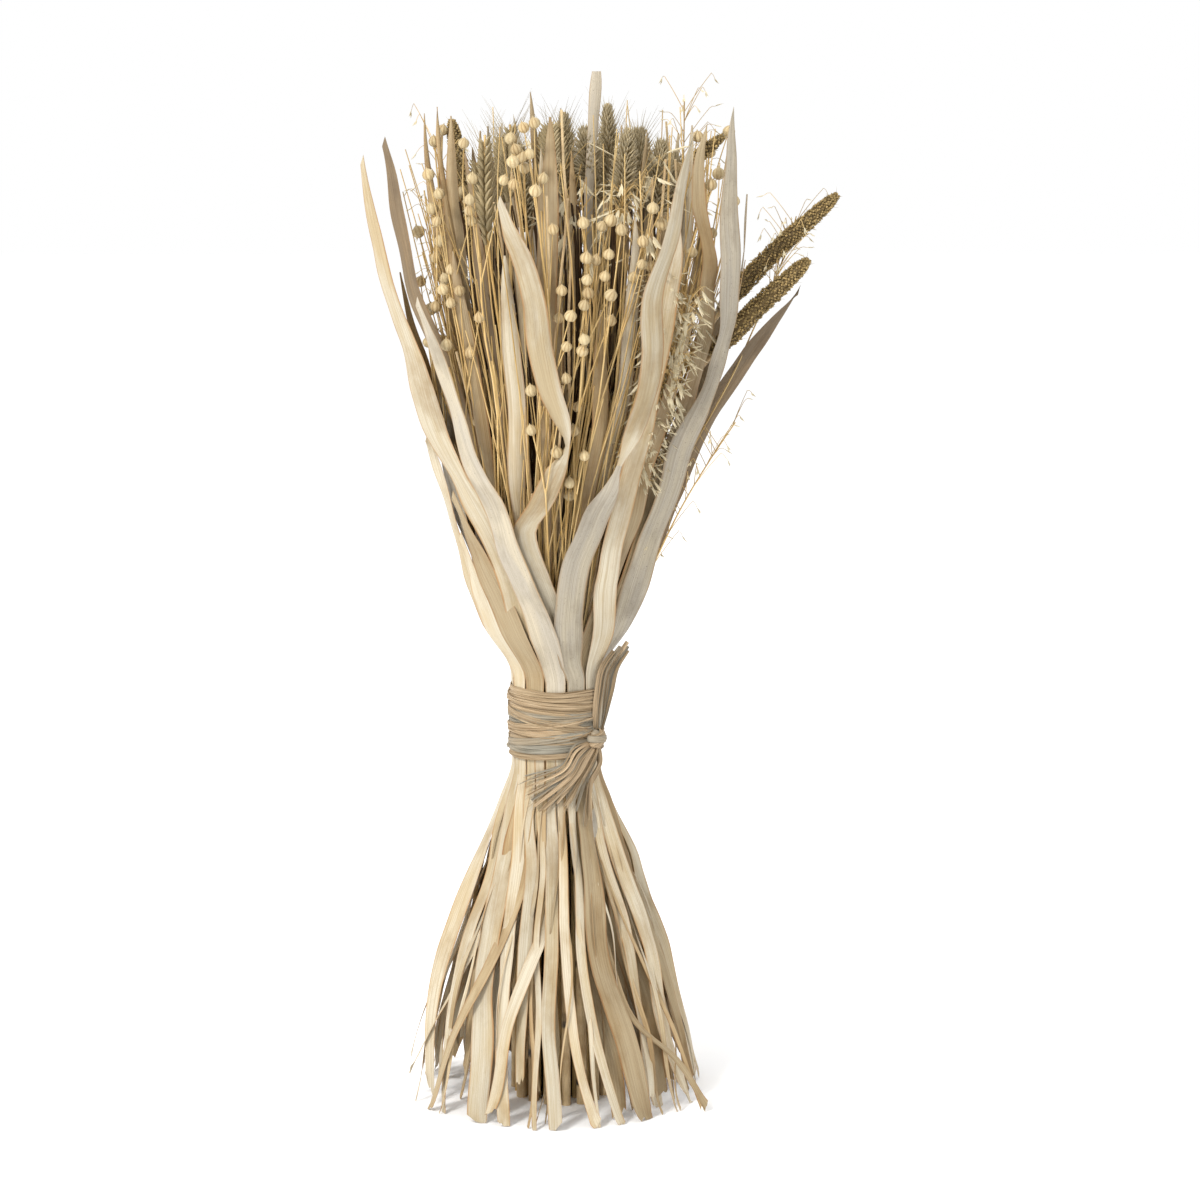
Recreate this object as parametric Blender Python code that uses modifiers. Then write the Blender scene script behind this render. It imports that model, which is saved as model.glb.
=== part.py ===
"""A bundle of dried millet, tied at the waist and standing upright on its cut stalks.

Long torn leaves lie in two layers round a core of strands: canes, millet spikes, wheat ears,
bristly grass heads, flax sprays, oats and fine grasses. A raffia tie holds them. The strands
stand in rings at the waist and spread together above and below it, so that none crosses another.

Lengths in the tables and functions are millimetres, angles are degrees. Azimuth 0 is the front,
-Y, and 90 is +X. The origin is at the foot of the middle cane, on the surface it stands on.
"""

import math
import random

import bmesh
import bpy
import numpy as np
from mathutils import Vector
from mathutils.bvhtree import BVHTree

MM = 0.001

# The tie, and the leaves' straight stretch under it
TIE_BOTTOM = 215.0
TIE_TOP = 258.0
TEAR_HEIGHT = 209.0
WAIST_TOP = 263.0

# Leaves at the waist
LEAF_WIDTH = 12.0
LEAF_THICKNESS = 0.7
OUTER_COUNT = 13
UNDER_COUNT = 11
UNDER_REACH = 0.9216
CUP = 0.057
# Rows of a strip below the tear, and the step between rows of a blade
STRIP_ROWS = 7
LEAF_STEP = 28.0

# Strands at the waist
STRAND_PITCH = 3.457
STRAND_RADIUS = 3.33
BUNCH_RADIUS = 3.51
LEVEL_FOOT = 4.0
# Height at which the strands start to part, above the tie
FLARE = 267.0
# Height at which a strand's path leaves its place in the spread for its own route, below the route
ROUTE_LEAD = 90.0

# Folded base of an inner leaf
FOLDED_WIDTH = 4.6
FOLDED_DEPTH = 5.5

# Clear distance that branches keep from everything else, and how often one is drawn again
CLEARANCE = 0.4
TRIES = 40


class Curve:
    """A smooth function through rows of (position, value, ...), level beyond its ends."""

    def __init__(self, rows):
        table = np.array(rows, dtype=float)
        self.at, self.values = table[:, 0], table[:, 1:]
        step = np.diff(self.at)[:, None]
        slope = np.diff(self.values, axis=0) / step
        inner = (slope[:-1] * step[1:] + slope[1:] * step[:-1]) / (step[1:] + step[:-1])
        inner[slope[:-1] * slope[1:] <= 0] = 0
        self.slopes = np.vstack([slope[:1], inner, slope[-1:]])

    def __call__(self, position):
        place = min(max(position, self.at[0]), self.at[-1])
        index = int(np.clip(np.searchsorted(self.at, place, side="right") - 1, 0, len(self.at) - 2))
        width = self.at[index + 1] - self.at[index]
        t = (place - self.at[index]) / width
        start, end = self.values[index], self.values[index + 1]
        out, into = self.slopes[index] * width, self.slopes[index + 1] * width
        result = (
            start * (1 + 2 * t) * (1 - t) ** 2
            + out * t * (1 - t) ** 2
            + end * t * t * (3 - 2 * t)
            - into * t * t * (1 - t)
        )
        return result if len(result) > 1 else float(result[0])


# Radius of the outer leaves round the bundle's axis, by height
OUTLINE = Curve([
    (0, 90), (27, 85), (60, 77), (94, 68), (110, 63), (149, 49), (185, 36), (TEAR_HEIGHT, 26.8),
    (WAIST_TOP, 26.8), (295, 42), (331, 55), (398, 76), (459, 97), (520, 111), (575, 116), (640, 118),
])
# How far the bundle's axis leans to the right, by height
LEAN = Curve([(0, 0), (262, 0), (331, 2), (398, 5), (459, 9), (520, 9), (575, 6), (640, 4)])
# How far the strands have spread from their places at the waist, by height
SPREAD = Curve([
    (0, 1.13), (LEVEL_FOOT, 1.13), (100, 1.07), (205, 1.0), (FLARE, 1.0), (295, 1.42), (331, 1.82),
    (398, 2.5), (459, 3.2), (520, 3.67), (575, 3.83), (640, 3.85),
])

COLOURS = {
    "cream": (0.80, 0.70, 0.51),
    "grey": (0.65, 0.60, 0.53),
    "tan": (0.56, 0.45, 0.30),
    "brown": (0.27, 0.21, 0.16),
    "cane": (0.56, 0.41, 0.23),
    "stem": (0.56, 0.38, 0.16),
    "pod": (0.68, 0.52, 0.30),
    "millet": (0.17, 0.12, 0.05),
    "wheat": (0.33, 0.27, 0.18),
    "bristle": (0.30, 0.25, 0.17),
    "oat": (0.62, 0.55, 0.38),
    "raffia": (0.52, 0.42, 0.28),
}


# Outer leaves by their lanes, from the left front to the right. A blade's rows are height, azimuth,
# reach as a share of the outline, width and twist. A strip's rows are the same, from its tip up.
LEAF_A1 = {
    "colour": "cream",
    "blade": [(290, -84, 1.02, 11, 0), (330, -86, 1.03, 9, 15), (350, -84, 1.04, 8, 25),
              (376, -79, 1.03, 6, 10), (397, -84, 1.04, 4, 0), (412, -81, 1.05, 1.5, 0)],
    "strips": [[(10, -65, 1.0, 4, 0), (60, -72, 1.08, 7, 0), (110, -74, 1.14, 10, 10),
                (160, -82, 1.10, 11, 0), (185, -86, 1.03, 8, 0)],
               [(0, -52, 0.98, 5, 0), (60, -58, 1.03, 6, 10), (110, -60, 1.04, 8, 0),
                (160, -65, 1.0, 8, -10), (185, -71, 1.0, 7, 0)]],
}
LEAF_A2 = {
    "colour": "cream",
    "blade": [(290, -65, 1.0, 11, 0), (313, -69, 1.0, 9, 0), (330, -71, 1.01, 6, 10),
              (352, -72, 1.03, 1.5, 0)],
    "strips": [[(0, -33, 1.0, 9, 0), (60, -37, 1.0, 12, 0), (110, -43, 1.0, 13, 0),
                (160, -49, 1.0, 9, 0), (185, -57, 1.0, 8, 0)],
               [(0, -21, 1.0, 7, 0), (60, -26, 1.0, 8, 10), (110, -29, 1.0, 8, 0),
                (160, -36, 1.0, 8, 0), (185, -43, 1.0, 7, 0)]],
}
LEAF_A3 = {
    "colour": "tan",
    "blade": [(281, -34, 1.0, 12, 0), (305, -43, 1.0, 14, 0), (326, -50, 1.0, 14, 0),
              (345, -56, 1.0, 12, 8), (360, -63, 1.01, 8, 12), (378, -68, 1.02, 1.5, 0)],
    "strips": [[(28, -15, 1.0, 5, 0), (60, -16.5, 1.0, 7, 0), (110, -18, 1.0, 8, 0),
                (160, -22, 1.0, 7, 0), (185, -30, 1.0, 7, 0)],
               [(0, -8, 1.0, 4, 0), (60, -9, 1.0, 5, 0), (110, -10, 1.0, 5, 0),
                (160, -12, 1.0, 5, 0), (185, -17, 1.0, 6, 0)]],
}
LEAF_A4 = {
    "colour": "grey",
    "blade": [(271, -3, 1.0, 12, 0), (287, -8, 1.0, 12, 0), (309, -15, 1.0, 15, 0),
              (328, -24, 1.0, 16, 0), (347, -31, 1.0, 15, 0), (368, -34, 1.0, 12, 0),
              (380, -37, 1.0, 11, -10), (392, -42, 1.0, 9, -20), (408, -46, 1.0, 9, -10),
              (438, -50, 1.0, 8, 0), (471, -53, 1.0, 6, 0), (498, -57, 1.0, 1.5, 0)],
    "strips": [[(0, 0.5, 1.0, 8, 0), (60, -3, 1.0, 8, 0), (110, -2.5, 1.0, 8, 0),
                (160, -3, 1.0, 8, 0), (185, -6, 1.0, 7, 0)],
               [(0, 17, 1.0, 7, 0), (60, 8, 1.0, 8, 0), (110, 5.5, 1.0, 8, 0),
                (160, 7, 1.0, 7, 0), (185, 6, 1.0, 6, 0)]],
}
LEAF_A5 = {
    "colour": "grey",
    "blade": [(275, 18, 1.0, 12, 0), (292, 11, 1.0, 12, 0), (317, 9, 1.0, 13, 0),
              (342, 11, 1.0, 14, 0), (359, 16, 1.0, 15, 0), (374, 19, 1.0, 13, 0),
              (385, 23, 1.0, 9, 15), (399, 25, 1.0, 7, 30), (417, 28, 1.0, 9, 15),
              (442, 30, 1.0, 10, 0), (470, 29, 1.0, 11, 0), (499, 27, 1.0, 12, 0),
              (533, 31, 1.0, 11, 0), (568, 36, 1.0, 7, 0), (596, 40, 1.0, 1.5, 0)],
    "strips": [[(0, 27, 1.0, 7, 0), (60, 18, 1.0, 8, 0), (110, 15.5, 1.0, 8, 0),
                (160, 17, 1.0, 7, 0), (185, 18, 1.0, 6, 0)],
               [(0, 40, 1.0, 9, 0), (60, 31, 1.0, 10, 0), (110, 27, 1.0, 10, 0),
                (160, 29, 1.0, 8, 0), (185, 32, 1.0, 8, 0)]],
}
LEAF_A6 = {
    "colour": "cream",
    "blade": [(290, 45, 1.0, 11, 0), (330, 33, 1.0, 9, 0), (345, 33, 0.97, 9, 0),
              (365, 34, 0.95, 9, 0), (390, 35, 0.93, 9, 0), (422, 36, 0.92, 10, 0),
              (441, 35, 0.91, 10, 0), (480, 34, 0.91, 12, 0), (493, 34, 0.91, 12, 0),
              (527, 36, 0.91, 8, 0), (546, 38, 0.91, 1.5, 0)],
    "strips": [[(15, 43, 1.0, 5, 0), (60, 45, 1.0, 8, 0), (110, 47, 1.0, 9, 0),
                (160, 44, 1.0, 8, 0), (185, 47, 1.0, 7, 0)],
               [(0, 68, 1.0, 4, 0), (60, 60, 1.0, 8, 0), (110, 65, 1.03, 10, -10),
                (160, 60, 1.04, 9, 0), (185, 62, 1.0, 8, 0)]],
}
LEAF_A7 = {
    "colour": "grey",
    "blade": [(289, 72, 1.0, 11, 0), (314, 67, 1.0, 14, 0), (341, 66, 1.0, 15, 0),
              (364, 65, 1.0, 15, 0), (385, 65, 1.0, 13, 0), (411, 62, 1.0, 11, 0),
              (448, 65, 1.0, 7, 25), (478, 66, 1.0, 10, 0), (505, 60, 1.0, 13, 0),
              (527, 58, 1.0, 11, 0), (550, 57, 1.0, 9, 0), (571, 57, 1.0, 7, 0),
              (592, 57, 1.0, 4.5, 0), (609, 58, 1.0, 1.5, 0)],
    "strips": [[(8, 80, 1.0, 4, 0), (60, 75, 1.0, 6, 0), (110, 80, 1.0, 8, 0),
                (160, 75, 1.0, 7, 0), (185, 76, 1.0, 7, 0)],
               [(5, 95, 1.0, 5, 0), (60, 91, 1.0, 7, 0), (110, 95, 1.0, 8, 0),
                (160, 90, 1.0, 8, 0), (185, 91, 1.0, 7, 0)]],
}
LEAF_A8 = {
    "colour": "brown",
    "blade": [(300, 106, 1.0, 11, 0), (350, 100, 1.0, 10, 0), (423, 94, 1.0, 10, 15),
              (444, 93, 1.02, 11, 20), (468, 93, 1.06, 9, 10), (484, 93, 1.12, 6, 0),
              (502, 94, 1.20, 1.5, 0)],
    "strips": None,
}

UNDER_B1 = {
    "colour": "brown",
    "blade": [(300, -66, 0.90, 10, 0), (345, -62, 0.84, 9, 0), (400, -60, 0.84, 8, 0),
              (440, -61, 0.86, 8, 0), (480, -64, 0.92, 8, 0), (522, -67, 0.94, 8, 0),
              (560, -70, 0.94, 6, 0), (590, -74, 0.95, 1.5, 0)],
    "strip": [(25, -50, 0.90, 4, 0), (60, -51, 0.88, 7, 0), (110, -58, 0.85, 9, 0),
              (160, -62, 0.88, 9, 0), (185, -63, 0.90, 10, 0)],
}
UNDER_B2 = {
    "colour": "cream",
    "blade": [(300, -33, 0.90, 10, 0), (325, -34, 0.90, 10, 0), (345, -42, 0.90, 10, 0),
              (371, -57, 0.92, 11, 0), (386, -63, 0.95, 7, 20), (400, -67, 0.98, 8, 10),
              (420, -72, 1.0, 11, 0), (457, -75, 1.0, 9, 0), (494, -80, 1.02, 7, 0),
              (540, -84, 1.03, 5, 0), (578, -85, 1.05, 1.5, 0)],
    "strip": [(8, -38, 0.87, 6, 0), (60, -36, 0.86, 8, 0), (110, -35, 0.85, 9, 0),
              (160, -34, 0.88, 10, 0), (185, -33, 0.90, 10, 0)],
}
UNDER_B3 = {
    "colour": "cream",
    "blade": [(300, -3, 0.90, 9, 0), (330, -13, 0.90, 9, 0), (359, -21, 0.90, 10, 0),
              (377, -12, 0.90, 11, 0), (399, -4, 0.90, 11, 0), (413, 1, 0.90, 6, 30),
              (428, -2, 0.90, 9, 0), (450, -8, 0.90, 10, 0), (473, -11, 0.90, 10, 0),
              (501, -12, 0.90, 9, 0), (525, -15, 0.90, 9, 0), (548, -20, 0.90, 5, 0),
              (560, -22, 0.90, 1.5, 0)],
    "strip": [(4, -4, 0.87, 6, 0), (60, 1, 0.86, 8, 0), (110, -1, 0.85, 9, 0),
              (160, 0, 0.88, 10, 0), (185, 0, 0.90, 10, 0)],
}
UNDER_B4 = {
    "colour": "tan",
    "blade": [(300, 37, 0.90, 9, 0), (345, 44, 0.90, 9, 0), (368, 46, 0.90, 9, 0),
              (397, 46, 0.88, 9, 0), (440, 50, 0.86, 8, 0), (470, 52, 0.86, 5, 0),
              (500, 53, 0.86, 1.5, 0)],
    "strip": [(3, 31, 0.87, 7, 0), (60, 27, 0.86, 9, 0), (110, 23, 0.85, 9, 0),
              (160, 28, 0.88, 9, 0), (185, 32, 0.90, 10, 0)],
}
UNDER_B5 = {
    "colour": "tan",
    "blade": [(300, 66, 0.90, 9, 0), (400, 66, 0.88, 8, 0), (440, 67, 0.86, 7, 0),
              (475, 66, 0.88, 6, 25), (506, 56, 0.90, 7, 0), (519, 55, 0.90, 6, 20),
              (535, 52, 0.90, 5, 30), (557, 49, 0.90, 6, 10), (571, 49, 0.90, 5, 0),
              (585, 50, 0.90, 4, 0), (600, 53, 0.90, 1.5, 0)],
    "strip": [(8, 60, 0.88, 5, 0), (60, 57, 0.88, 8, 0), (110, 56, 0.85, 9, 0),
              (160, 62, 0.88, 9, 0), (185, 65, 0.90, 10, 0)],
}

# Strands in each ring at the waist, from the first azimuth on
RING_3 = ["leaf_inner_1", "oat_1", "oat_2", "millet_2", "millet_1", "fine_grass_1", "flax_5", "wheat_3",
          "oat_3", "flax_6", "millet_4", "fine_grass_2", "flax_1", "flax_2", "wheat_1", "leaf_inner_2"]
RING_2 = ["flax_3", "bristle_grass_2", "bristle_grass_3", "millet_3", "cane_1", "wheat_4",
          "bristle_grass_4", "cane_2", "leaf_inner_4", "cane_3", "flax_4", "wheat_2"]
RING_1 = ["leaf_inner_3", "bristle_grass_1", "cane_5", "millet_5", "bristle_grass_5", "cane_4"]
STRAND_RINGS = [(6, 11.25, RING_3), (4, 0.0, RING_2), (2, 30.0, RING_1), (0, 0.0, ["cane_6"])]

# Where a strand leaves its place in the spread: height, and X and Y away from the axis of the bundle
ROUTES = {
    "millet_1": [(480, 95, -3), (500, 110, -7), (528, 137, -9), (557, 169, -9)],
    "millet_2": [(450, 84, -18), (480, 110, -24), (500, 130, -28), (520, 151, -30)],
    "millet_3": [(548, 62, -1), (565, 74, -2), (578, 84, -3), (592, 101, -5)],
    "millet_4": [(520, -52, 44), (560, -58, 50), (600, -64, 55)],
    "wheat_1": [(480, -32, -58), (540, -39, -66), (600, -40, -70)],
    "wheat_2": [(540, -22, -45), (605, -26, -48)],
    "bristle_grass_2": [(520, 36, -45), (602, 44, -52)],
    "bristle_grass_3": [(520, 58, -26), (596, 64, -30)],
    "leaf_inner_1": [(382, 20, -50), (430, 28, -60), (490, 28, -68)],
    "leaf_inner_2": [(440, -5, -60), (500, -4, -73), (606, -2, -79)],
    "leaf_inner_3": [(560, 21, -24), (630, 25, -26)],
}

# Cane stalks: height of the cut top, and of the joints
CANES = {
    "cane_1": (470, (62, 148)), "cane_2": (500, (95,)), "cane_3": (455, (40, 128)),
    "cane_4": (430, (78, 166)), "cane_5": (515, (110,)), "cane_6": (480, (55, 140)),
}
# Millet spikes: height of the spike's base and tip, its radius, and the joints of its cane
MILLETS = {
    "millet_1": (487, 557, 5.0, (50, 138)), "millet_2": (462, 520, 5.3, (84, 170)),
    "millet_3": (540, 592, 4.2, (30, 120)), "millet_4": (515, 598, 5.0, (70, 155)),
    "millet_5": (505, 592, 4.6, (100, 180)),
}
# Wheat ears: height of the ear's base and tip
WHEATS = {"wheat_1": (530, 600), "wheat_2": (545, 605), "wheat_3": (520, 588), "wheat_4": (538, 602)}
# Bristly heads: height of the head's base and tip, and its core's radius
BRISTLES = {
    "bristle_grass_1": (552, 614, 5.2), "bristle_grass_2": (548, 602, 5.6),
    "bristle_grass_3": (540, 594, 6.2), "bristle_grass_4": (545, 606, 5.6),
    "bristle_grass_5": (530, 590, 5.2),
}
# Flax sprays: lowest and highest end of their stems
FLAXES = {
    "flax_1": (440, 585), "flax_2": (430, 600), "flax_3": (440, 590), "flax_4": (480, 606),
    "flax_5": (430, 590), "flax_6": (440, 600),
}
FLAX_STEMS = 4
# Height of the bunch's top, and of the stems' lower ends inside it
FLAX_SPLIT = 305.0
FLAX_ROOT = 285.0
PODS_ON_A_STEM = 3
POD_RADIUS = 3.8
# Oats and fine grasses: lowest branch and top of the main stem, branches, and the spikelet's radius
PANICLES = {
    "oat_1": (515, 575, 8, 1.9, "oat"), "oat_2": (395, 500, 13, 1.9, "oat"),
    "oat_3": (450, 570, 9, 1.9, "oat"), "fine_grass_1": (350, 560, 9, 1.1, "stem"),
    "fine_grass_2": (470, 590, 7, 1.1, "stem"),
}
# Inner leaves: heights and widths of the blade
INNER_LEAVES = {
    "leaf_inner_1": ("tan", [(300, 6), (360, 7), (400, 10), (440, 11), (470, 9), (494, 2)]),
    "leaf_inner_2": ("tan", [(300, 6), (400, 7), (480, 12), (560, 12), (600, 10), (607, 3)]),
    "leaf_inner_3": ("grey", [(300, 6), (400, 6), (540, 6), (600, 6), (628, 5), (631, 1.5)]),
    "leaf_inner_4": ("cream", [(300, 6), (400, 7), (500, 11), (560, 8), (596, 1.5)]),
}


def radial(azimuth):
    """Level unit vector that points away from the axis."""
    turn = math.radians(azimuth)
    return Vector((math.sin(turn), -math.cos(turn), 0))


def across(azimuth):
    """Level unit vector round the axis, towards growing azimuth."""
    turn = math.radians(azimuth)
    return Vector((math.cos(turn), math.sin(turn), 0))


def on_axis(height):
    return Vector((LEAN(height), 0, height))


def make_material(name, colour, roughness=0.75):
    material = bpy.data.materials.new(name)
    material.use_nodes = True
    shader = material.node_tree.nodes["Principled BSDF"]
    shader.inputs["Base Color"].default_value = (*colour, 1)
    shader.inputs["Roughness"].default_value = roughness
    return material


def add_object(name, mesh, colour, collection):
    """Turn a bmesh into a named object with one material."""
    data = bpy.data.meshes.new(name)
    mesh.to_mesh(data)
    mesh.free()
    data.materials.append(MATERIALS[colour])
    thing = bpy.data.objects.new(name, data)
    collection.objects.link(thing)
    return thing


def evaluated_mesh(thing):
    """The object's mesh with its modifiers applied."""
    bpy.context.view_layer.update()
    shown = thing.evaluated_get(bpy.context.evaluated_depsgraph_get())
    return bpy.data.meshes.new_from_object(shown)


def bake(thing):
    """Apply the object's modifiers."""
    data = evaluated_mesh(thing)
    thing.modifiers.clear()
    thing.data = data


def path_frames(points):
    """Two cross directions and the tangent at each point of a path, carried along without a twist."""
    frames = []
    side = None
    for index in range(len(points)):
        ahead = points[min(index + 1, len(points) - 1)]
        behind = points[max(index - 1, 0)]
        tangent = (ahead - behind).normalized()
        if side is None:
            side = Vector((1, 0, 0)) if abs(tangent.x) < 0.9 else Vector((0, 1, 0))
        side = (side - tangent * side.dot(tangent)).normalized()
        frames.append((side, tangent.cross(side), tangent))
    return frames


def no_relief(column, row):
    return 1.0, 0.0


def rolled_tube(points, radii, sides, relief=no_relief):
    """A grid rolled round a path and closed at both ends. The relief gives each corner of a column
    and row a share of its radius and a lift along the path."""
    mesh = bmesh.new()
    rows = len(points) - 1
    bmesh.ops.create_grid(mesh, x_segments=sides, y_segments=rows, size=0.5)
    frames = path_frames(points)
    for vertex in mesh.verts:
        column = round((vertex.co.x + 0.5) * sides) % sides
        row = round((vertex.co.y + 0.5) * rows)
        swell, lift = relief(column, row)
        side, other, along = frames[row]
        angle = math.tau * column / sides
        out = side * math.cos(angle) + other * math.sin(angle)
        vertex.co = (points[row] + out * radii[row] * swell + along * lift) * MM
    bmesh.ops.remove_doubles(mesh, verts=mesh.verts, dist=1e-7)
    rims = [edge for edge in mesh.edges if edge.is_boundary]
    bmesh.ops.holes_fill(mesh, edges=rims, sides=0)
    bmesh.ops.triangulate(mesh, faces=mesh.faces)
    bmesh.ops.recalc_face_normals(mesh, faces=mesh.faces)
    return mesh


def ribbon(points, widths, depths, sides):
    """A grid folded into a flat bar along a path, its two broad faces split into triangles alike. A
    side is the level direction across the bar at each point."""
    mesh = bmesh.new()
    rows = len(points) - 1
    bmesh.ops.create_grid(mesh, x_segments=4, y_segments=rows, size=0.5)
    front = [face for face in mesh.faces if face.calc_center_median().x < -0.25]
    for vertex in mesh.verts:
        corner = round((vertex.co.x + 0.5) * 4) % 4
        row = round((vertex.co.y + 0.5) * rows)
        along = (points[min(row + 1, rows)] - points[max(row - 1, 0)]).normalized()
        out = sides[row].cross(along).normalized()
        u = (-0.5, 0.5, 0.5, -0.5)[corner]
        v = (-0.5, -0.5, 0.5, 0.5)[corner]
        vertex.co = (points[row] + sides[row] * widths[row] * u + out * depths[row] * v) * MM
    bmesh.ops.remove_doubles(mesh, verts=mesh.verts, dist=1e-7)
    rims = [edge for edge in mesh.edges if edge.is_boundary]
    bmesh.ops.triangulate(mesh, faces=front, quad_method="FIXED")
    bmesh.ops.triangulate(mesh, faces=mesh.faces, quad_method="ALTERNATE")
    bmesh.ops.holes_fill(mesh, edges=rims, sides=0)
    bmesh.ops.recalc_face_normals(mesh, faces=mesh.faces)
    return mesh


# Leaves

def waist_rows(lane, reach):
    return [(TEAR_HEIGHT, lane, reach, LEAF_WIDTH, 0), (WAIST_TOP, lane, reach, LEAF_WIDTH, 0)]


def leaf_point(curve, height, offset, cup=0.0):
    """A point of a leaf at a height. The offset runs from -0.5 at one edge to 0.5 at the other. The
    cup is how far the edges lie behind the middle, as a share of the width."""
    azimuth, reach, width, twist = curve(height)
    centre = on_axis(height) + radial(azimuth) * OUTLINE(height) * reach
    flat = across(azimuth - twist) * width * offset
    behind = radial(azimuth - twist) * (cup * width * (2 * offset) ** 2)
    return centre + flat - behind


def leaf_object(name, colour, blade, strips, lane, reach, collection):
    """A leaf that is one blade above the tear, and one or two strips below it."""
    upper = Curve(waist_rows(lane, reach) + blade)
    strip_curves = []
    torn = len(strips) == 2
    quarter = math.degrees(LEAF_WIDTH / 4 / (OUTLINE(TEAR_HEIGHT) * reach))
    for strip, turn in zip(strips, (-quarter, quarter) if torn else (0,)):
        top = (TEAR_HEIGHT, lane + turn, reach, LEAF_WIDTH / len(strips), 0)
        strip_curves.append(Curve(strip + [top]))

    tip = blade[-1][0]
    above = max(3, round((tip - WAIST_TOP) / LEAF_STEP))
    heights = [TEAR_HEIGHT, WAIST_TOP]
    heights += [WAIST_TOP + (tip - WAIST_TOP) * step / above for step in range(1, above + 1)]
    columns = 2 if torn else 1
    rows = STRIP_ROWS + len(heights) - 1

    mesh = bmesh.new()
    bmesh.ops.create_grid(mesh, x_segments=columns, y_segments=rows, size=0.5)
    level = {vertex: round((vertex.co.y + 0.5) * rows) for vertex in mesh.verts}
    if torn:
        slit = [edge for edge in mesh.edges
                if all(abs(vertex.co.x) < 0.01 and level[vertex] <= STRIP_ROWS for vertex in edge.verts)]
        bmesh.ops.split_edges(mesh, edges=slit)
    places = []
    for vertex in mesh.verts:
        row = round((vertex.co.y + 0.5) * rows)
        if row >= STRIP_ROWS:
            cup = CUP if torn else 0
            places.append(leaf_point(upper, heights[row - STRIP_ROWS], vertex.co.x, cup))
            continue
        middle = sum(face.calc_center_median().x for face in vertex.link_faces)
        curve = strip_curves[1 if torn and middle > 0 else 0]
        left_edge = vertex.co.x < (middle / len(vertex.link_faces) if torn else 0)
        start = curve.at[0]
        height = start + (TEAR_HEIGHT - start) * row / STRIP_ROWS
        places.append(leaf_point(curve, height, -0.5 if left_edge else 0.5))
    for vertex, place in zip(mesh.verts, places):
        vertex.co = place * MM
    bmesh.ops.triangulate(mesh, faces=mesh.faces)
    return thicken(add_object(name, mesh, colour, collection))


def thicken(sheet):
    """Give a leaf's sheet its thickness, and keep it above the surface it stands on."""
    solid = sheet.modifiers.new("Thickness", "SOLIDIFY")
    solid.thickness = LEAF_THICKNESS * MM
    solid.offset = 0
    bake(sheet)
    for vertex in sheet.data.vertices:
        vertex.co.z = max(vertex.co.z, 0)
    mesh = bmesh.new()
    mesh.from_mesh(sheet.data)
    bmesh.ops.recalc_face_normals(mesh, faces=mesh.faces)
    mesh.to_mesh(sheet.data)
    mesh.free()
    return sheet


def back_blade(lane, reach, top, draw):
    """A blade for the back of the bundle, which wanders round its own lane."""
    rows = []
    sway = draw.uniform(4, 8) * draw.choice((-1, 1))
    widest = draw.uniform(9, 14)
    heights = np.linspace(300, top, 7)
    for index, height in enumerate(heights):
        share = index / (len(heights) - 1)
        width = max(1.5, widest * math.sin(math.pi * min(0.5, 0.30 + 0.4 * share)) * (1 - share ** 3))
        azimuth = lane + sway * math.sin(3.5 * share)
        rows.append((height, azimuth, reach, width, draw.uniform(-14, 14)))
    return rows


def back_strip(azimuth, reach, tip, draw):
    """A strip of the skirt at the back."""
    bend = draw.uniform(-3, 3)
    return [(tip, azimuth + bend, reach, draw.uniform(5, 8), 0),
            (60, azimuth - bend, reach, draw.uniform(8, 12), 0),
            (110, azimuth + bend / 2, reach, draw.uniform(9, 12), 0),
            (160, azimuth, reach, 9, 0), (185, azimuth, reach, 7.5, 0)]


def build_outer_leaves(collection):
    draw = random.Random(11)
    spacing = 360 / OUTER_COUNT
    named = {-3: LEAF_A1, -2: LEAF_A2, -1: LEAF_A3, 0: LEAF_A4, 1: LEAF_A5, 2: LEAF_A6, 3: LEAF_A7,
             4: LEAF_A8}
    back_tops = {5: 560, 6: 470, 7: 596, 8: 520, 9: 430}
    back_colours = {5: "cream", 6: "tan", 7: "grey", 8: "cream", 9: "tan"}
    for count, place in enumerate(range(-3, OUTER_COUNT - 3), start=1):
        lane = place * spacing
        leaf = named.get(place)
        blade = leaf["blade"] if leaf else back_blade(lane, 1.0, back_tops[place], draw)
        colour = leaf["colour"] if leaf else back_colours[place]
        strips = leaf["strips"] if leaf else None
        if strips is None:
            strips = [back_strip(lane + side * spacing / 4, 1.0, draw.choice((0, 4, 14)), draw)
                      for side in (-1, 1)]
        leaf_object(f"leaf_outer_{count:02d}", colour, blade, strips, lane, 1.0, collection)


def build_under_leaves(collection):
    draw = random.Random(23)
    spacing = 360 / UNDER_COUNT
    named = {-2: UNDER_B1, -1: UNDER_B2, 0: UNDER_B3, 1: UNDER_B4, 2: UNDER_B5}
    back_tops = {3: 540, 4: 500, 5: 575, 6: 450, 7: 590, 8: 535}
    back_colours = {3: "cream", 4: "grey", 5: "cream", 6: "brown", 7: "tan", 8: "grey"}
    for count, place in enumerate(range(-2, UNDER_COUNT - 2), start=1):
        lane = place * spacing
        leaf = named.get(place)
        if leaf:
            colour, blade, strip = leaf["colour"], leaf["blade"], leaf["strip"]
        else:
            colour = back_colours[place]
            blade = back_blade(lane, 0.9, back_tops[place], draw)
            strip = back_strip(lane, 0.87, draw.choice((3, 8, 20)), draw)
        leaf_object(f"leaf_under_{count:02d}", colour, blade, [strip], lane, UNDER_REACH, collection)


# Strands

def strand_places():
    """Each strand's ring radius and azimuth at the waist."""
    places = {}
    for pitches, first, names in STRAND_RINGS:
        for index, name in enumerate(names):
            places[name] = (pitches * STRAND_PITCH, first + 360 * index / len(names))
    return places


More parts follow.
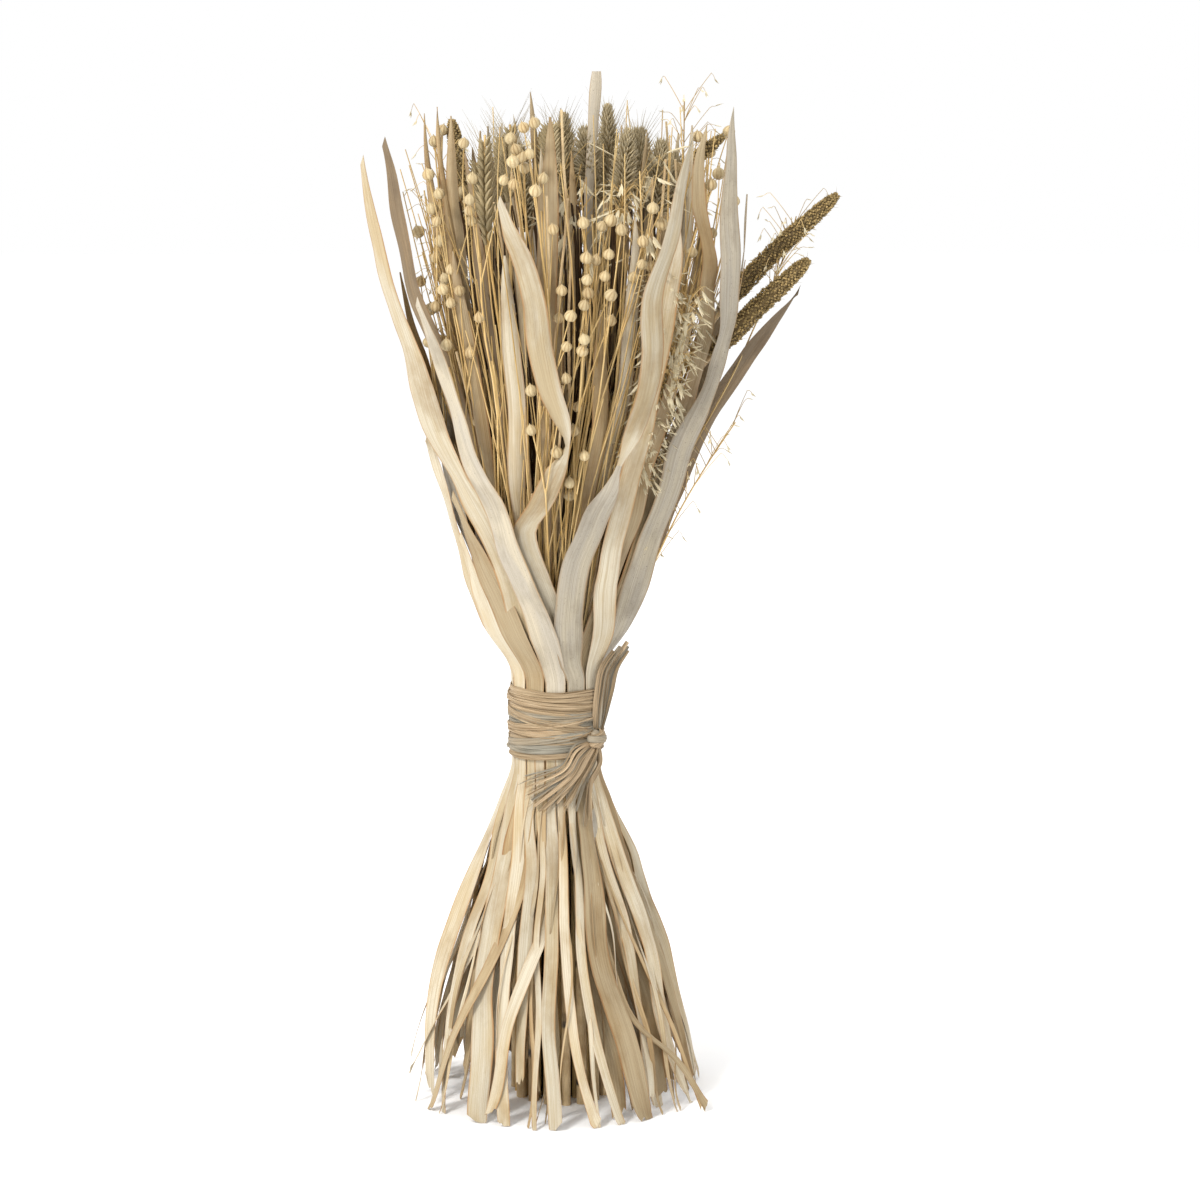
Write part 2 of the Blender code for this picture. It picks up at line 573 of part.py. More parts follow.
def spread_point(name, height):
    """The strand's place in the spread."""
    radius, azimuth = PLACES[name]
    return on_axis(height) + radial(azimuth) * radius * SPREAD(height)


def strand_point(name, height):
    """The strand's centre, on its own route where it has one."""
    if name not in ROUTES:
        return spread_point(name, height)
    route = ROUTES[name]
    leave = route[0][0] - ROUTE_LEAD
    if height <= leave:
        return spread_point(name, height)
    if height >= route[0][0]:
        x, y = Curve(route)(height)
        return Vector((x, y, height))
    start = Curve([(leave - 20, *spread_point(name, leave - 20).xy), (leave, *spread_point(name, leave).xy),
                   *route])
    x, y = start(height)
    return Vector((x, y, height))


def strand_path(name, heights):
    return [strand_point(name, height) for height in heights]


def bunch_relief(column, row):
    """Grooves that make a strand read as a few stems side by side."""
    return (1.0 if column % 2 else 0.96), 0.0


def cane_radius(height, joints):
    """A stalk's radius, thicker at its joints and thinner above the tie."""
    taper = Curve([(FLARE, STRAND_RADIUS), (300, 2.7), (350, 2.1), (450, 1.5), (520, 1.1)])(height)
    near = min(abs(height - joint) for joint in joints)
    return taper + (0.35 if near < 3 else 0.0) - (0.12 if height < 205 and near >= 3 else 0.0)


def build_canes(collection):
    for name, (top, joints) in CANES.items():
        heights = sorted([0, LEVEL_FOOT, 205, FLARE, 300, 350, top, *joints])
        radii = [cane_radius(height, joints) for height in heights]
        add_object(name, rolled_tube(strand_path(name, heights), radii, 7), "cane", collection)


def seed_relief(first_row):
    """Seeds in staggered rows from a given row on."""
    def relief(column, row):
        if row < first_row:
            return 1.0, 0.0
        return (1.12 if (column + row) % 2 else 0.84), 0.0
    return relief


def build_millets(collection):
    head_rows = 12
    profile = Curve([(0, 0.55), (0.15, 0.95), (0.5, 1.0), (0.85, 0.85), (1, 0.35)])
    for name, (base, tip, radius, joints) in MILLETS.items():
        heights = sorted([0, LEVEL_FOOT, 205, FLARE, 300, 390, base - 6, *joints])
        radii = [cane_radius(height, joints) for height in heights]
        first_row = len(heights)
        for index in range(head_rows + 1):
            share = index / head_rows
            heights.append(base + (tip - base) * share)
            radii.append(radius * profile(share))
        points = strand_path(name, heights)
        add_object(name, rolled_tube(points, radii, 8, seed_relief(first_row)), "millet", collection)


def stem_start(top):
    """Heights and radii of a bunch of stems from the foot to where one stem goes on alone."""
    heights = [0, LEVEL_FOOT, 205, FLARE, 295, 330]
    radii = [BUNCH_RADIUS] * 4 + [2.4, 1.3]
    for height in (400, 470):
        if height < top - 15:
            heights.append(height)
            radii.append(0.95)
    return heights, radii


def stem_relief(column, row):
    """Grooves up to the top of the tie, and a round stem above."""
    return bunch_relief(column, row) if row < 4 else (1.0, 0.0)


def ear_relief(first_row):
    """Spikelets in two ranks, each overhanging the next one up on the other side."""
    def relief(column, row):
        if row < first_row:
            return stem_relief(column, row)
        rank = 0 if column in (0, 1, 5) else 1
        crest = column in (0, 3)
        if (row + rank) % 2:
            return (1.25 if crest else 0.85), 2.2
        return (0.80 if crest else 0.62), 0.0
    return relief


def build_wheats(collection):
    ear_rows = 14
    profile = Curve([(0, 2.6), (0.15, 5.6), (0.6, 5.6), (0.9, 3.6), (1, 1.2)])
    for name, (base, tip) in WHEATS.items():
        heights, radii = stem_start(base)
        heights.append(base - 6)
        radii.append(0.9)
        first_row = len(heights)
        for index in range(ear_rows + 1):
            heights.append(base + (tip - base) * index / ear_rows)
            radii.append(profile(index / ear_rows))
        points = strand_path(name, heights)
        add_object(name, rolled_tube(points, radii, 6, ear_relief(first_row)), "wheat", collection)


def bristle_relief(first_row, last_row):
    """Every other corner drawn out and up into a bristle."""
    def relief(column, row):
        if row < first_row:
            return stem_relief(column, row)
        if row in (first_row, last_row):
            return 0.8, 0.0
        return (1.5, 6.5) if (column + row) % 2 else (0.72, 0.0)
    return relief


def build_bristle_grasses(collection):
    head_rows = 8
    profile = Curve([(0, 2.4), (0.2, 1.0), (0.6, 1.0), (1, 0.3)])
    for name, (base, tip, radius) in BRISTLES.items():
        heights, radii = stem_start(base)
        heights.append(base - 6)
        radii.append(0.9)
        first_row = len(heights)
        for index in range(head_rows + 1):
            share = index / head_rows
            heights.append(base + (tip - base) * share)
            radii.append(radius * profile(share) if index else 1.6)
        relief = bristle_relief(first_row, len(heights) - 1)
        points = strand_path(name, heights)
        add_object(name, rolled_tube(points, radii, 8, relief), "bristle", collection)


def build_inner_leaves(collection):
    """Leaves that stand among the strands: a folded base under the tie, and a blade above."""
    for name, (colour, widths) in INNER_LEAVES.items():
        width = Curve([(0, FOLDED_WIDTH), (FLARE, FOLDED_WIDTH), *widths])
        depth = Curve([(0, FOLDED_DEPTH), (FLARE, FOLDED_DEPTH), (300, 0.9), (340, LEAF_THICKNESS)])
        azimuth = PLACES[name][1]
        top = widths[-1][0]
        blade_rows = round((top - FLARE) / LEAF_STEP)
        heights = [0, LEVEL_FOOT, 205]
        heights += [FLARE + (top - FLARE) * row / blade_rows for row in range(blade_rows + 1)]
        sides = []
        for height in heights:
            wave = 25 * math.sin(height / 60) * min(1, max(0, height - 300) / 100)
            sides.append(across(azimuth + wave))
        mesh = ribbon(strand_path(name, heights), [width(height) for height in heights],
                      [depth(height) for height in heights], sides)
        add_object(name, mesh, colour, collection)


# Branching strands: every branch is tried against what stands already, and drawn again if it touches

def tree_of(mesh_or_data):
    """A search tree of a bmesh or a mesh."""
    if isinstance(mesh_or_data, bmesh.types.BMesh):
        return BVHTree.FromBMesh(mesh_or_data)
    corners = [vertex.co for vertex in mesh_or_data.vertices]
    return BVHTree.FromPolygons(corners, [tuple(face.vertices) for face in mesh_or_data.polygons])


def is_clear(points, radii, obstacles):
    """Whether a round branch, with its clearance, misses every obstacle."""
    trial = rolled_tube(points, [radius + CLEARANCE for radius in radii], 4)
    tree = tree_of(trial)
    trial.free()
    return not any(tree.overlap(obstacle) for obstacle in obstacles)


def merge_flat_faces(thing):
    """Merge the slivers that a union leaves in flat faces, where the body stays whole."""
    for reach in (0.02, 0.008, 0.002):
        mesh = bmesh.new()
        mesh.from_mesh(thing.data)
        bmesh.ops.remove_doubles(mesh, verts=mesh.verts, dist=reach * MM)
        bmesh.ops.dissolve_limit(mesh, angle_limit=math.radians(0.5), verts=mesh.verts, edges=mesh.edges)
        bmesh.ops.triangulate(mesh, faces=mesh.faces)
        merged = bpy.data.meshes.new(thing.name)
        mesh.to_mesh(merged)
        mesh.free()
        if is_whole(merged):
            merged.materials.append(thing.data.materials[0])
            thing.data = merged
            return


def fuse(name, pieces, colour, collection):
    """Join meshes that sink into each other into one object by a Boolean union."""
    extras = bpy.data.collections.new(name + "_extras")
    bpy.context.scene.collection.children.link(extras)
    whole = add_object(name, pieces[0], colour, collection)
    for index, piece in enumerate(pieces[1:]):
        add_object(f"{name}_piece_{index}", piece, colour, extras)
    union = whole.modifiers.new("Union", "BOOLEAN")
    union.operation = "UNION"
    union.solver = "EXACT"
    union.operand_type = "COLLECTION"
    union.collection = extras
    if not is_whole(evaluated_mesh(whole)):
        union.solver = "MANIFOLD"
    bake(whole)
    merge_flat_faces(whole)
    for extra in list(extras.objects):
        bpy.data.objects.remove(extra)
    bpy.data.collections.remove(extras)
    return whole


def podded(points, thickness):
    """Points and radii of a stem along the given points, with a pod at its end."""
    end = points[-1]
    rise = (end - points[-2]).normalized().lerp(Vector((0, 0, 1)), 0.5).normalized()
    shape = [(0.28, 0.95), (0.72, 1.0), (1.0, 0.14)]
    path = points + [end + rise * 2 * POD_RADIUS * share for share, _ in shape]
    radii = [thickness] * len(points) + [POD_RADIUS * swell for _, swell in shape]
    return path, radii


def is_whole(data):
    """Whether a mesh is one closed body."""
    mesh = bmesh.new()
    mesh.from_mesh(data)
    closed = all(len(edge.link_faces) == 2 for edge in mesh.edges)
    waiting = set(mesh.verts)
    group = [waiting.pop()]
    while group:
        for edge in group.pop().link_edges:
            for vertex in edge.verts:
                if vertex in waiting:
                    waiting.discard(vertex)
                    group.append(vertex)
    mesh.free()
    return closed and not waiting


def at_height(points, height):
    """The point of a rising path at a height."""
    for low, high in zip(points, points[1:]):
        if low.z <= height <= high.z:
            return low.lerp(high, (height - low.z) / (high.z - low.z))
    return points[-1]


def build_flax(name, lowest, highest, obstacles, draw, collection):
    """A bunch of stems that parts above the tie, with pods at the ends and on short stalks."""
    heights = [0, LEVEL_FOOT, 205, FLARE, FLAX_SPLIT]
    radii = [BUNCH_RADIUS] * 4 + [2.6]
    pieces = [rolled_tube(strand_path(name, heights), radii, 6, bunch_relief)]
    azimuth = PLACES[name][1]
    for stem in range(FLAX_STEMS):
        for _ in range(TRIES):
            top = lowest + (highest - lowest) * (stem + draw.random()) / FLAX_STEMS
            reach = draw.uniform(0.45, 0.84)
            turn = azimuth + draw.uniform(-24, 24)
            end = on_axis(top) + radial(turn) * OUTLINE(top) * reach
            foot = spread_point(name, FLAX_ROOT) + radial(360 * stem / FLAX_STEMS) * 0.8
            points = [foot]
            for share in (0.2, 0.4, 0.6, 0.8, 1.0):
                height = FLAX_ROOT + (top - FLAX_ROOT) * share
                drift = (end - spread_point(name, top)) * share ** 1.3
                points.append(Vector((*(spread_point(name, height) + drift).xy, height)))
            path, sizes = podded(points, 0.7)
            if is_clear([points[0].lerp(points[1], 0.5)] + path[1:], sizes, obstacles):
                break
        else:
            continue
        pieces.append(rolled_tube(path, sizes, 4))
        add_side_pods(points, pieces, obstacles, draw)
    whole = fuse(name, pieces, "pod", collection)
    obstacles.append(tree_of(whole.data))


def add_side_pods(points, pieces, obstacles, draw):
    """Pods on short stalks that leave a flax stem near its top."""
    ends = [points[-1]]
    for count in range(1, PODS_ON_A_STEM):
        for _ in range(TRIES):
            place = draw.uniform(2.6, 4.4)
            index = int(place)
            root = points[index].lerp(points[index + 1], place - index)
            out = radial(draw.uniform(0, 360))
            tip = root + out * draw.uniform(7, 12) + Vector((0, 0, draw.uniform(12, 22)))
            apart = all((tip - end).length > 2 * POD_RADIUS + 2 for end in ends[:count])
            path, sizes = podded([root, tip], 0.6)
            if apart and is_clear([root.lerp(tip, 0.2)] + path[1:], sizes, obstacles):
                ends.append(tip)
                pieces.append(rolled_tube(path, sizes, 4))
                break


def build_panicle(name, obstacles, draw, collection):
    """A main stem with thin drooping branches, each with a pointed spikelet at its end."""
    lowest, top, branches, plump, colour = PANICLES[name]
    heights, radii = stem_start(top)
    heights += [top - 14, top]
    radii += [0.8, 0.6]
    main = strand_path(name, heights)
    pieces = [rolled_tube(main, radii, 6, stem_relief)]
    for index in range(branches):
        for _ in range(TRIES):
            height = lowest + (top - lowest) * (index + draw.random()) / branches
            root = at_height(main, height)
            out = radial(draw.uniform(0, 360))
            length = draw.uniform(9, 22)
            elbow = root + out * length * 0.7 + Vector((0, 0, length * 0.9))
            neck = elbow + out * 3.5 + Vector((0, 0, -1.5))
            belly = neck + out * 2.2 + Vector((0, 0, -4.5))
            tip = belly + out * 1.0 + Vector((0, 0, -5.0))
            points = [root, elbow, neck, belly, tip]
            sizes = [0.6, 0.6, 0.7, plump, 0.45]
            if is_clear(points[1:], sizes[1:], obstacles):
                pieces.append(rolled_tube(points, sizes, 3))
                break
    whole = fuse(name, pieces, colour, collection)
    obstacles.append(tree_of(whole.data))


def build_branching(collection):
    """Flax and panicles, after everything that they have to miss."""
    obstacles = [tree_of(thing.data) for thing in collection.objects]
    draw = random.Random(7)
    for name, (lowest, highest) in FLAXES.items():
        build_flax(name, lowest, highest, obstacles, draw, collection)
    for name in PANICLES:
        build_panicle(name, obstacles, draw, collection)


# Raffia tie

TIE_INNER = 27.5
TIE_OUTER = 29.0
WRAPS = 6
WRAP_DEPTH = 1.5
KNOT_AZIMUTH = 58.0
KNOT_HEIGHT = 227.0


def wrap_ring():
    """The wraps: a grid closed into a ring, with a ridge for each turn and a slow slant."""
    around, outer_rows = 24, 2 * WRAPS
    section = outer_rows + 2
    mesh = bmesh.new()
    bmesh.ops.create_grid(mesh, x_segments=around, y_segments=section, size=0.5)
    for vertex in mesh.verts:
        column = round((vertex.co.x + 0.5) * around) % around
        row = round((vertex.co.y + 0.5) * section) % section
        azimuth = 360 * column / around
        slant = 1.3 * math.sin(math.radians(2 * azimuth))
        if row <= outer_rows:
            share = row / outer_rows
            ridge = row % 2
            slip = slant * math.sin(math.pi * share)
            radius = TIE_OUTER + WRAP_DEPTH * ridge - (0.8 if row in (0, outer_rows) else 0)
            height = TIE_BOTTOM + (TIE_TOP - TIE_BOTTOM) * share + slip
        else:
            radius = TIE_INNER
            height = (TIE_TOP + TIE_BOTTOM) / 2
        vertex.co = (radial(azimuth) * radius + Vector((0, 0, height))) * MM
    return close_ring(mesh)


def close_ring(mesh):
    bmesh.ops.remove_doubles(mesh, verts=mesh.verts, dist=1e-7)
    bmesh.ops.triangulate(mesh, faces=mesh.faces)
    bmesh.ops.recalc_face_normals(mesh, faces=mesh.faces)
    return mesh


def outside(azimuth, height, proud):
    """A point that stands proud of the leaves."""
    radius = max(OUTLINE(height), TIE_OUTER) + proud
    return on_axis(height) + radial(azimuth) * radius


def tail(points, widths, depth):
    """A loose end of raffia that lies flat against the bundle."""
    rows = len(points) - 1
    sides = []
    for row, point in enumerate(points):
        along = points[min(row + 1, rows)] - points[max(row - 1, 0)]
        out = Vector((point.x, point.y, 0))
        sides.append(along.cross(out).normalized())
    return ribbon(points, widths, [depth] * len(points), sides)


def build_tie(collection):
    knot = bmesh.new()
    bmesh.ops.create_icosphere(knot, subdivisions=2, radius=5.0 * MM)
    away = radial(KNOT_AZIMUTH)
    for vertex in knot.verts:
        vertex.co -= away * vertex.co.dot(away) * 0.3
    bmesh.ops.translate(knot, verts=knot.verts, vec=outside(KNOT_AZIMUTH, KNOT_HEIGHT, 2.4) * MM)
    pieces = [wrap_ring(), knot]
    up_tail = [outside(KNOT_AZIMUTH, KNOT_HEIGHT + 1, 2.0), outside(56, 243, 3.0), outside(57, 262, 3.6),
               outside(62, 280, 3.0), outside(70, 297, 3.5)]
    pieces.append(tail(up_tail, [5, 7, 8, 7, 3], 1.6))
    tassel_ends = [(-9, 205), (0, 192), (11, 186), (24, 189), (52, 178)]
    for index, (azimuth, height) in enumerate(tassel_ends):
        middle = (KNOT_AZIMUTH + azimuth) / 2 + 6
        path = [outside(KNOT_AZIMUTH, KNOT_HEIGHT - 1, 1.5), outside(middle + 10, 219, 2.4 + 0.5 * index),
                outside(middle, 210, 4.0), outside(azimuth, height, 5.0)]
        pieces.append(tail(path, [4, 5.5, 6, 2.5], 1.3))
    fuse("raffia_tie", pieces, "raffia", collection)


def main():
    for thing in list(bpy.data.objects):
        bpy.data.objects.remove(thing)
    bundle = bpy.data.collections.new("bundle_of_dried_millet")
    bpy.context.scene.collection.children.link(bundle)
    build_outer_leaves(bundle)
    build_under_leaves(bundle)
    build_canes(bundle)
    build_millets(bundle)
    build_wheats(bundle)
    build_bristle_grasses(bundle)
    build_inner_leaves(bundle)
    build_tie(bundle)
    build_branching(bundle)


PLACES = strand_places()
MATERIALS = {name: make_material(name, colour) for name, colour in COLOURS.items()}
main()
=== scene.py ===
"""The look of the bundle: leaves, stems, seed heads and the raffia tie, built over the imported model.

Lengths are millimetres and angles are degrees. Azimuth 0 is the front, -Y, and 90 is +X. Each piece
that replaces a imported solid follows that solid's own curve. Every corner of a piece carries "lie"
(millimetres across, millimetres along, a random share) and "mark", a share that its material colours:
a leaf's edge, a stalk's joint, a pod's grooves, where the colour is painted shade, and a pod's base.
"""

import math
import random

import bpy
import numpy as np
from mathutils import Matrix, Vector


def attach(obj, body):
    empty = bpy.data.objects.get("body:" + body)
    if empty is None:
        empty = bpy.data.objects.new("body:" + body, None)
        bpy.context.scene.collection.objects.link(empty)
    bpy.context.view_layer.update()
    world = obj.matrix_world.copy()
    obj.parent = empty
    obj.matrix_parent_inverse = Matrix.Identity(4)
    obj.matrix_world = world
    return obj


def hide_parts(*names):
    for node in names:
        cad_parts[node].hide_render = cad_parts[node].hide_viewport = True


MM = 0.001
UP = np.array((0.0, 0.0, 1.0))
GOLDEN_TURN = 2.39996

# Photograph
PHOTO_ORIGIN = (555, 1104)
MM_PER_PIXEL = 0.6
VIEW_TILT = math.radians(10)
VIEW_DISTANCE = 2400.0
VIEW_TARGET = (27.0, 0.0, 309.4)
VIEW_LENS = 117.8

# The tie, and the straight stretch of the leaves and strands under it
TIE_BOTTOM = 215.0
TIE_TOP = 258.0
TEAR_HEIGHT = 209.0
WAIST_TOP = 263.0
LEAF_WIDTH = 12.0
UNDER_REACH = 0.9216
HELD_REACH = 0.965
STRAND_PITCH = 3.457
STRAND_RADIUS = 3.33
FLARE = 267.0
ROUTE_LEAD = 90.0
STALK_FOOT = 240
STEM_FOOT = 244
# Where blades start and strips end, hidden under the tie
BLADE_FOOT = 219
MORE_BLADE_FOOT = 224
STRIP_HEAD = 223
MORE_STRIP_HEAD = 222
FIBRE_HEAD = 219

# How many there are of each
MORE_STRIPS = 34
FIBRES = 44
MORE_BLADES = 38
BUNCH_STEMS = 7
SPIKELETS = 22
BRISTLY_HUSKS = 300
MORE_HUSKS = 230
BARREN_STEMS = 22
STRAWS = 460
WRAPS = 9
TAIL_STRANDS = 5
# Straws nearer to the axis than this share of the outline are dark brown, painted shade inside the
# bundle, and end at this height
INNER_SHARE = 0.74
INNER_TOP = 555

# How finely leaves are drawn: millimetres between rows, and the sheet's thickness
LEAF_ROW = 4.8
LEAF_SHEET = 0.42
MAX_LEAF_WIDTH = 17.5
# How much wider or narrower than in their rows the strips of the front leaves are
STRIP_SHARES = {
    "leaf_outer_01": (1.2, 0.9), "leaf_outer_02": (1.2, 1.0), "leaf_outer_03": (1.0, 0.75),
    "leaf_outer_04": (1.0, 0.75), "leaf_outer_05": (0.75, 1.3), "leaf_outer_06": (0.9, 1.25),
    "leaf_under_03": (0.45,),
}
# Height of the fold above which a leaf shows its cream side
COLOUR_CHANGES = {"leaf_outer_05": 402}


class Curve:
    """A smooth function through rows of (position, value, ...), level beyond its ends."""

    def __init__(self, rows):
        table = np.array(rows, dtype=float)
        self.at, self.values = table[:, 0], table[:, 1:]
        step = np.diff(self.at)[:, None]
        slope = np.diff(self.values, axis=0) / step
        inner = (slope[:-1] * step[1:] + slope[1:] * step[:-1]) / (step[1:] + step[:-1])
        inner[slope[:-1] * slope[1:] <= 0] = 0
        self.slopes = np.vstack([slope[:1], inner, slope[-1:]])

    def __call__(self, position):
        place = np.clip(np.asarray(position, dtype=float), self.at[0], self.at[-1])
        index = np.clip(np.searchsorted(self.at, place, side="right") - 1, 0, len(self.at) - 2)
        width = (self.at[index + 1] - self.at[index])[..., None]
        t = (place - self.at[index])[..., None] / width
        start, end = self.values[index], self.values[index + 1]
        out, into = self.slopes[index] * width, self.slopes[index + 1] * width
        result = (start * (1 + 2 * t) * (1 - t) ** 2 + out * t * (1 - t) ** 2
                  + end * t * t * (3 - 2 * t) - into * t * t * (1 - t))
        return result if result.shape[-1] > 1 else result[..., 0]


# Radius of the outer leaves round the bundle's axis, the axis's lean, and the strands' spread
OUTLINE = Curve([
    (0, 88), (27, 82), (60, 74), (94, 64), (110, 58), (149, 43.5), (185, 33), (TEAR_HEIGHT, 26.8),
    (WAIST_TOP, 26.8), (295, 42), (331, 55), (398, 76), (459, 97), (520, 111), (575, 116), (640, 118),
])
LEAN = Curve([(0, 0), (262, 0), (331, 2), (398, 5), (459, 9), (520, 9), (575, 6), (640, 4)])
SPREAD = Curve([
    (0, 1.13), (4, 1.13), (100, 1.07), (205, 1.0), (FLARE, 1.0), (295, 1.42), (331, 1.82),
    (398, 2.5), (459, 3.2), (520, 3.67), (575, 3.83), (640, 3.85),
])

# Leaves by their lanes, from the left front to the right: colours above and below the tie, the rows of
# the blade, and those of each strip from its tip up. A row is height, azimuth, width, reach as a share
# of the outline, and twist. Reach and twist are left out where they are 1 and 0.
OUTER_LEAVES = {
    -3: ("cream", "cream",
         [(290, -84, 11, 1.02), (330, -86, 9, 1.03, 15), (350, -84, 8, 1.04, 25), (376, -79, 6, 1.03, 10),
          (397, -84, 4, 1.04), (412, -81, 1.5, 1.05)],
         [(10, -65, 4), (60, -72, 7, 1.08), (110, -74, 10, 1.14, 10), (160, -82, 11, 1.10),
          (185, -86, 8, 1.03)],
         [(0, -52, 5, 0.98), (60, -58, 6, 1.03, 10), (110, -60, 8, 1.04), (160, -65, 8, 1.0, -10),
          (185, -71, 7)]),
    -2: ("cream", "cream",
         [(290, -65, 11), (313, -69, 9), (330, -71, 6, 1.01, 10), (352, -72, 1.5, 1.03)],
         [(0, -33, 9), (60, -37, 12), (110, -43, 13), (160, -49, 9), (185, -57, 8)],
         [(0, -21, 7), (60, -26, 8, 1.0, 10), (110, -29, 8), (160, -36, 8), (185, -43, 7)]),
    -1: ("tan", "cream",
         [(281, -34, 12), (305, -43, 14), (326, -50, 14), (345, -56, 12, 1.0, 8), (360, -63, 8, 1.01, 12),
          (378, -68, 1.5, 1.02)],
         [(28, -15, 5), (60, -16.5, 7), (110, -18, 8), (160, -22, 7), (185, -30, 7)],
         [(0, -8, 4), (60, -9, 5), (110, -10, 5), (160, -12, 5), (185, -17, 6)]),
    0: ("grey", "cream",
        [(271, -3, 12), (287, -8, 12), (309, -15, 15), (328, -24, 16), (347, -31, 15), (368, -34, 12),
         (380, -37, 11, 1.0, -10), (392, -42, 9, 1.0, -20), (408, -46, 9, 1.0, -10), (438, -50, 8),
         (471, -53, 6), (498, -57, 1.5)],
        [(0, 0.5, 8), (60, -3, 8), (110, -2.5, 8), (160, -3, 8), (185, -6, 7)],
        [(0, 17, 7), (60, 8, 8), (110, 5.5, 8), (160, 7, 7), (185, 6, 6)]),
    1: ("grey", "cream",
        [(275, 18, 12), (292, 11, 12), (317, 9, 13), (342, 11, 14), (359, 16, 15), (374, 19, 13),
         (387, 23, 7, 1.0, 35), (402, 25, 3.5, 1.0, 84), (418, 28, 7, 1.0, 35), (442, 30, 9),
         (470, 29, 10), (499, 27, 9), (533, 31, 7), (568, 36, 5), (596, 40, 1.5)],
        [(0, 27, 7), (60, 18, 8), (110, 15.5, 8), (160, 17, 7), (185, 18, 6)],
        [(0, 40, 9), (60, 31, 10), (110, 27, 10), (160, 29, 8), (185, 32, 8)]),
    2: ("cream", "cream",
        [(290, 45, 11), (330, 33, 9), (345, 33, 9, 0.97), (365, 34, 9, 0.95), (390, 35, 9, 0.93),
         (422, 36, 10, 0.92), (441, 35, 10, 0.91), (480, 34, 12, 0.91), (493, 34, 12, 0.91),
         (527, 36, 8, 0.91), (546, 38, 1.5, 0.91)],
        [(15, 43, 5), (60, 45, 8), (110, 47, 9), (160, 44, 8), (185, 47, 7)],
        [(0, 68, 4), (60, 60, 8), (110, 65, 10, 1.03, -10), (160, 60, 9, 1.04), (185, 62, 8)]),
    3: ("grey", "cream",
        [(289, 72, 11), (314, 67, 14), (341, 66, 15), (364, 65, 15), (385, 65, 13), (411, 62, 11),
         (448, 65, 6, 1.0, 25), (478, 66, 8), (505, 60, 9), (527, 58, 8), (550, 57, 7), (571, 57, 5.5),
         (592, 57, 4), (609, 58, 1.5)],
        [(8, 80, 4), (60, 75, 6), (110, 80, 8), (160, 75, 7), (185, 76, 7)],
        [(5, 95, 5), (60, 91, 7), (110, 95, 8), (160, 90, 8), (185, 91, 7)]),
    4: ("brown", "tan",
        [(300, 106, 11), (350, 100, 10), (423, 92, 9, 1.02, 15), (444, 91, 10, 1.07, 20),
         (462, 90, 10, 1.13, 10), (480, 90, 7, 1.20), (499, 91, 1.5, 1.29)]),
}
UNDER_LEAVES = {
    -2: ("brown", "tan",
         [(300, -66, 10, 0.90), (345, -62, 9, 0.84), (400, -60, 8, 0.84), (440, -61, 8, 0.86),
          (480, -64, 8, 0.92), (522, -67, 8, 0.94), (560, -70, 6, 0.94), (590, -74, 1.5, 0.95)],
         [(25, -50, 4, 0.90), (60, -51, 7, 0.88), (110, -58, 9, 0.85), (160, -62, 9, 0.88),
          (185, -63, 10, 0.90)]),
    -1: ("cream", "cream",
         [(300, -33, 10, 0.90), (325, -34, 10, 0.90), (345, -42, 10, 0.90), (371, -57, 12, 0.92),
          (386, -63, 10, 0.95, 15), (400, -67, 11, 0.98, 5), (420, -72, 12), (457, -75, 10),
          (494, -80, 7.5, 1.02), (540, -84, 5, 1.03), (578, -85, 1.5, 1.05)],
         [(8, -38, 6, 0.87), (60, -36, 8, 0.86), (110, -35, 9, 0.85), (160, -34, 10, 0.88),
          (185, -33, 10, 0.90)]),
    0: ("cream", "tan",
        [(300, -3, 9, 0.90), (330, -13, 9, 0.90), (359, -21, 10, 0.90), (377, -12, 10, 0.90),
         (399, -4, 9, 0.90, 15), (413, 1, 6, 0.90, 65), (428, -2, 8, 0.90, 20), (450, -8, 10, 0.90),
         (473, -11, 10, 0.90), (501, -12, 9, 0.90), (525, -15, 9, 0.90), (548, -20, 5, 0.90),
         (560, -22, 1.5, 0.90)],
        [(4, -4, 6, 0.87), (60, 1, 8, 0.86), (110, -1, 9, 0.85), (160, 0, 10, 0.88), (185, 0, 10, 0.90)]),
    1: ("tan", "cream",
        [(300, 37, 9, 0.90), (345, 44, 9, 0.90), (368, 46, 9, 0.90), (397, 46, 9, 0.88),
         (440, 50, 8, 0.86), (470, 52, 5, 0.86), (500, 53, 1.5, 0.86)],
        [(3, 31, 7, 0.87), (60, 27, 9, 0.86), (110, 23, 9, 0.85), (160, 28, 9, 0.88), (185, 32, 10, 0.90)]),
    2: ("tan", "cream",
        [(300, 66, 9, 0.90), (400, 66, 8, 0.88), (440, 67, 7, 0.86), (475, 66, 6, 0.88, 25),
         (506, 56, 7, 0.90), (519, 55, 6, 0.90, 20), (535, 52, 5, 0.90, 30), (557, 49, 6, 0.90, 10),
         (571, 49, 5, 0.90), (585, 50, 4, 0.90), (600, 53, 1.5, 0.90)],
        [(8, 60, 5, 0.88), (60, 57, 8, 0.88), (110, 56, 9, 0.85), (160, 62, 9, 0.88), (185, 65, 10, 0.90)]),
}
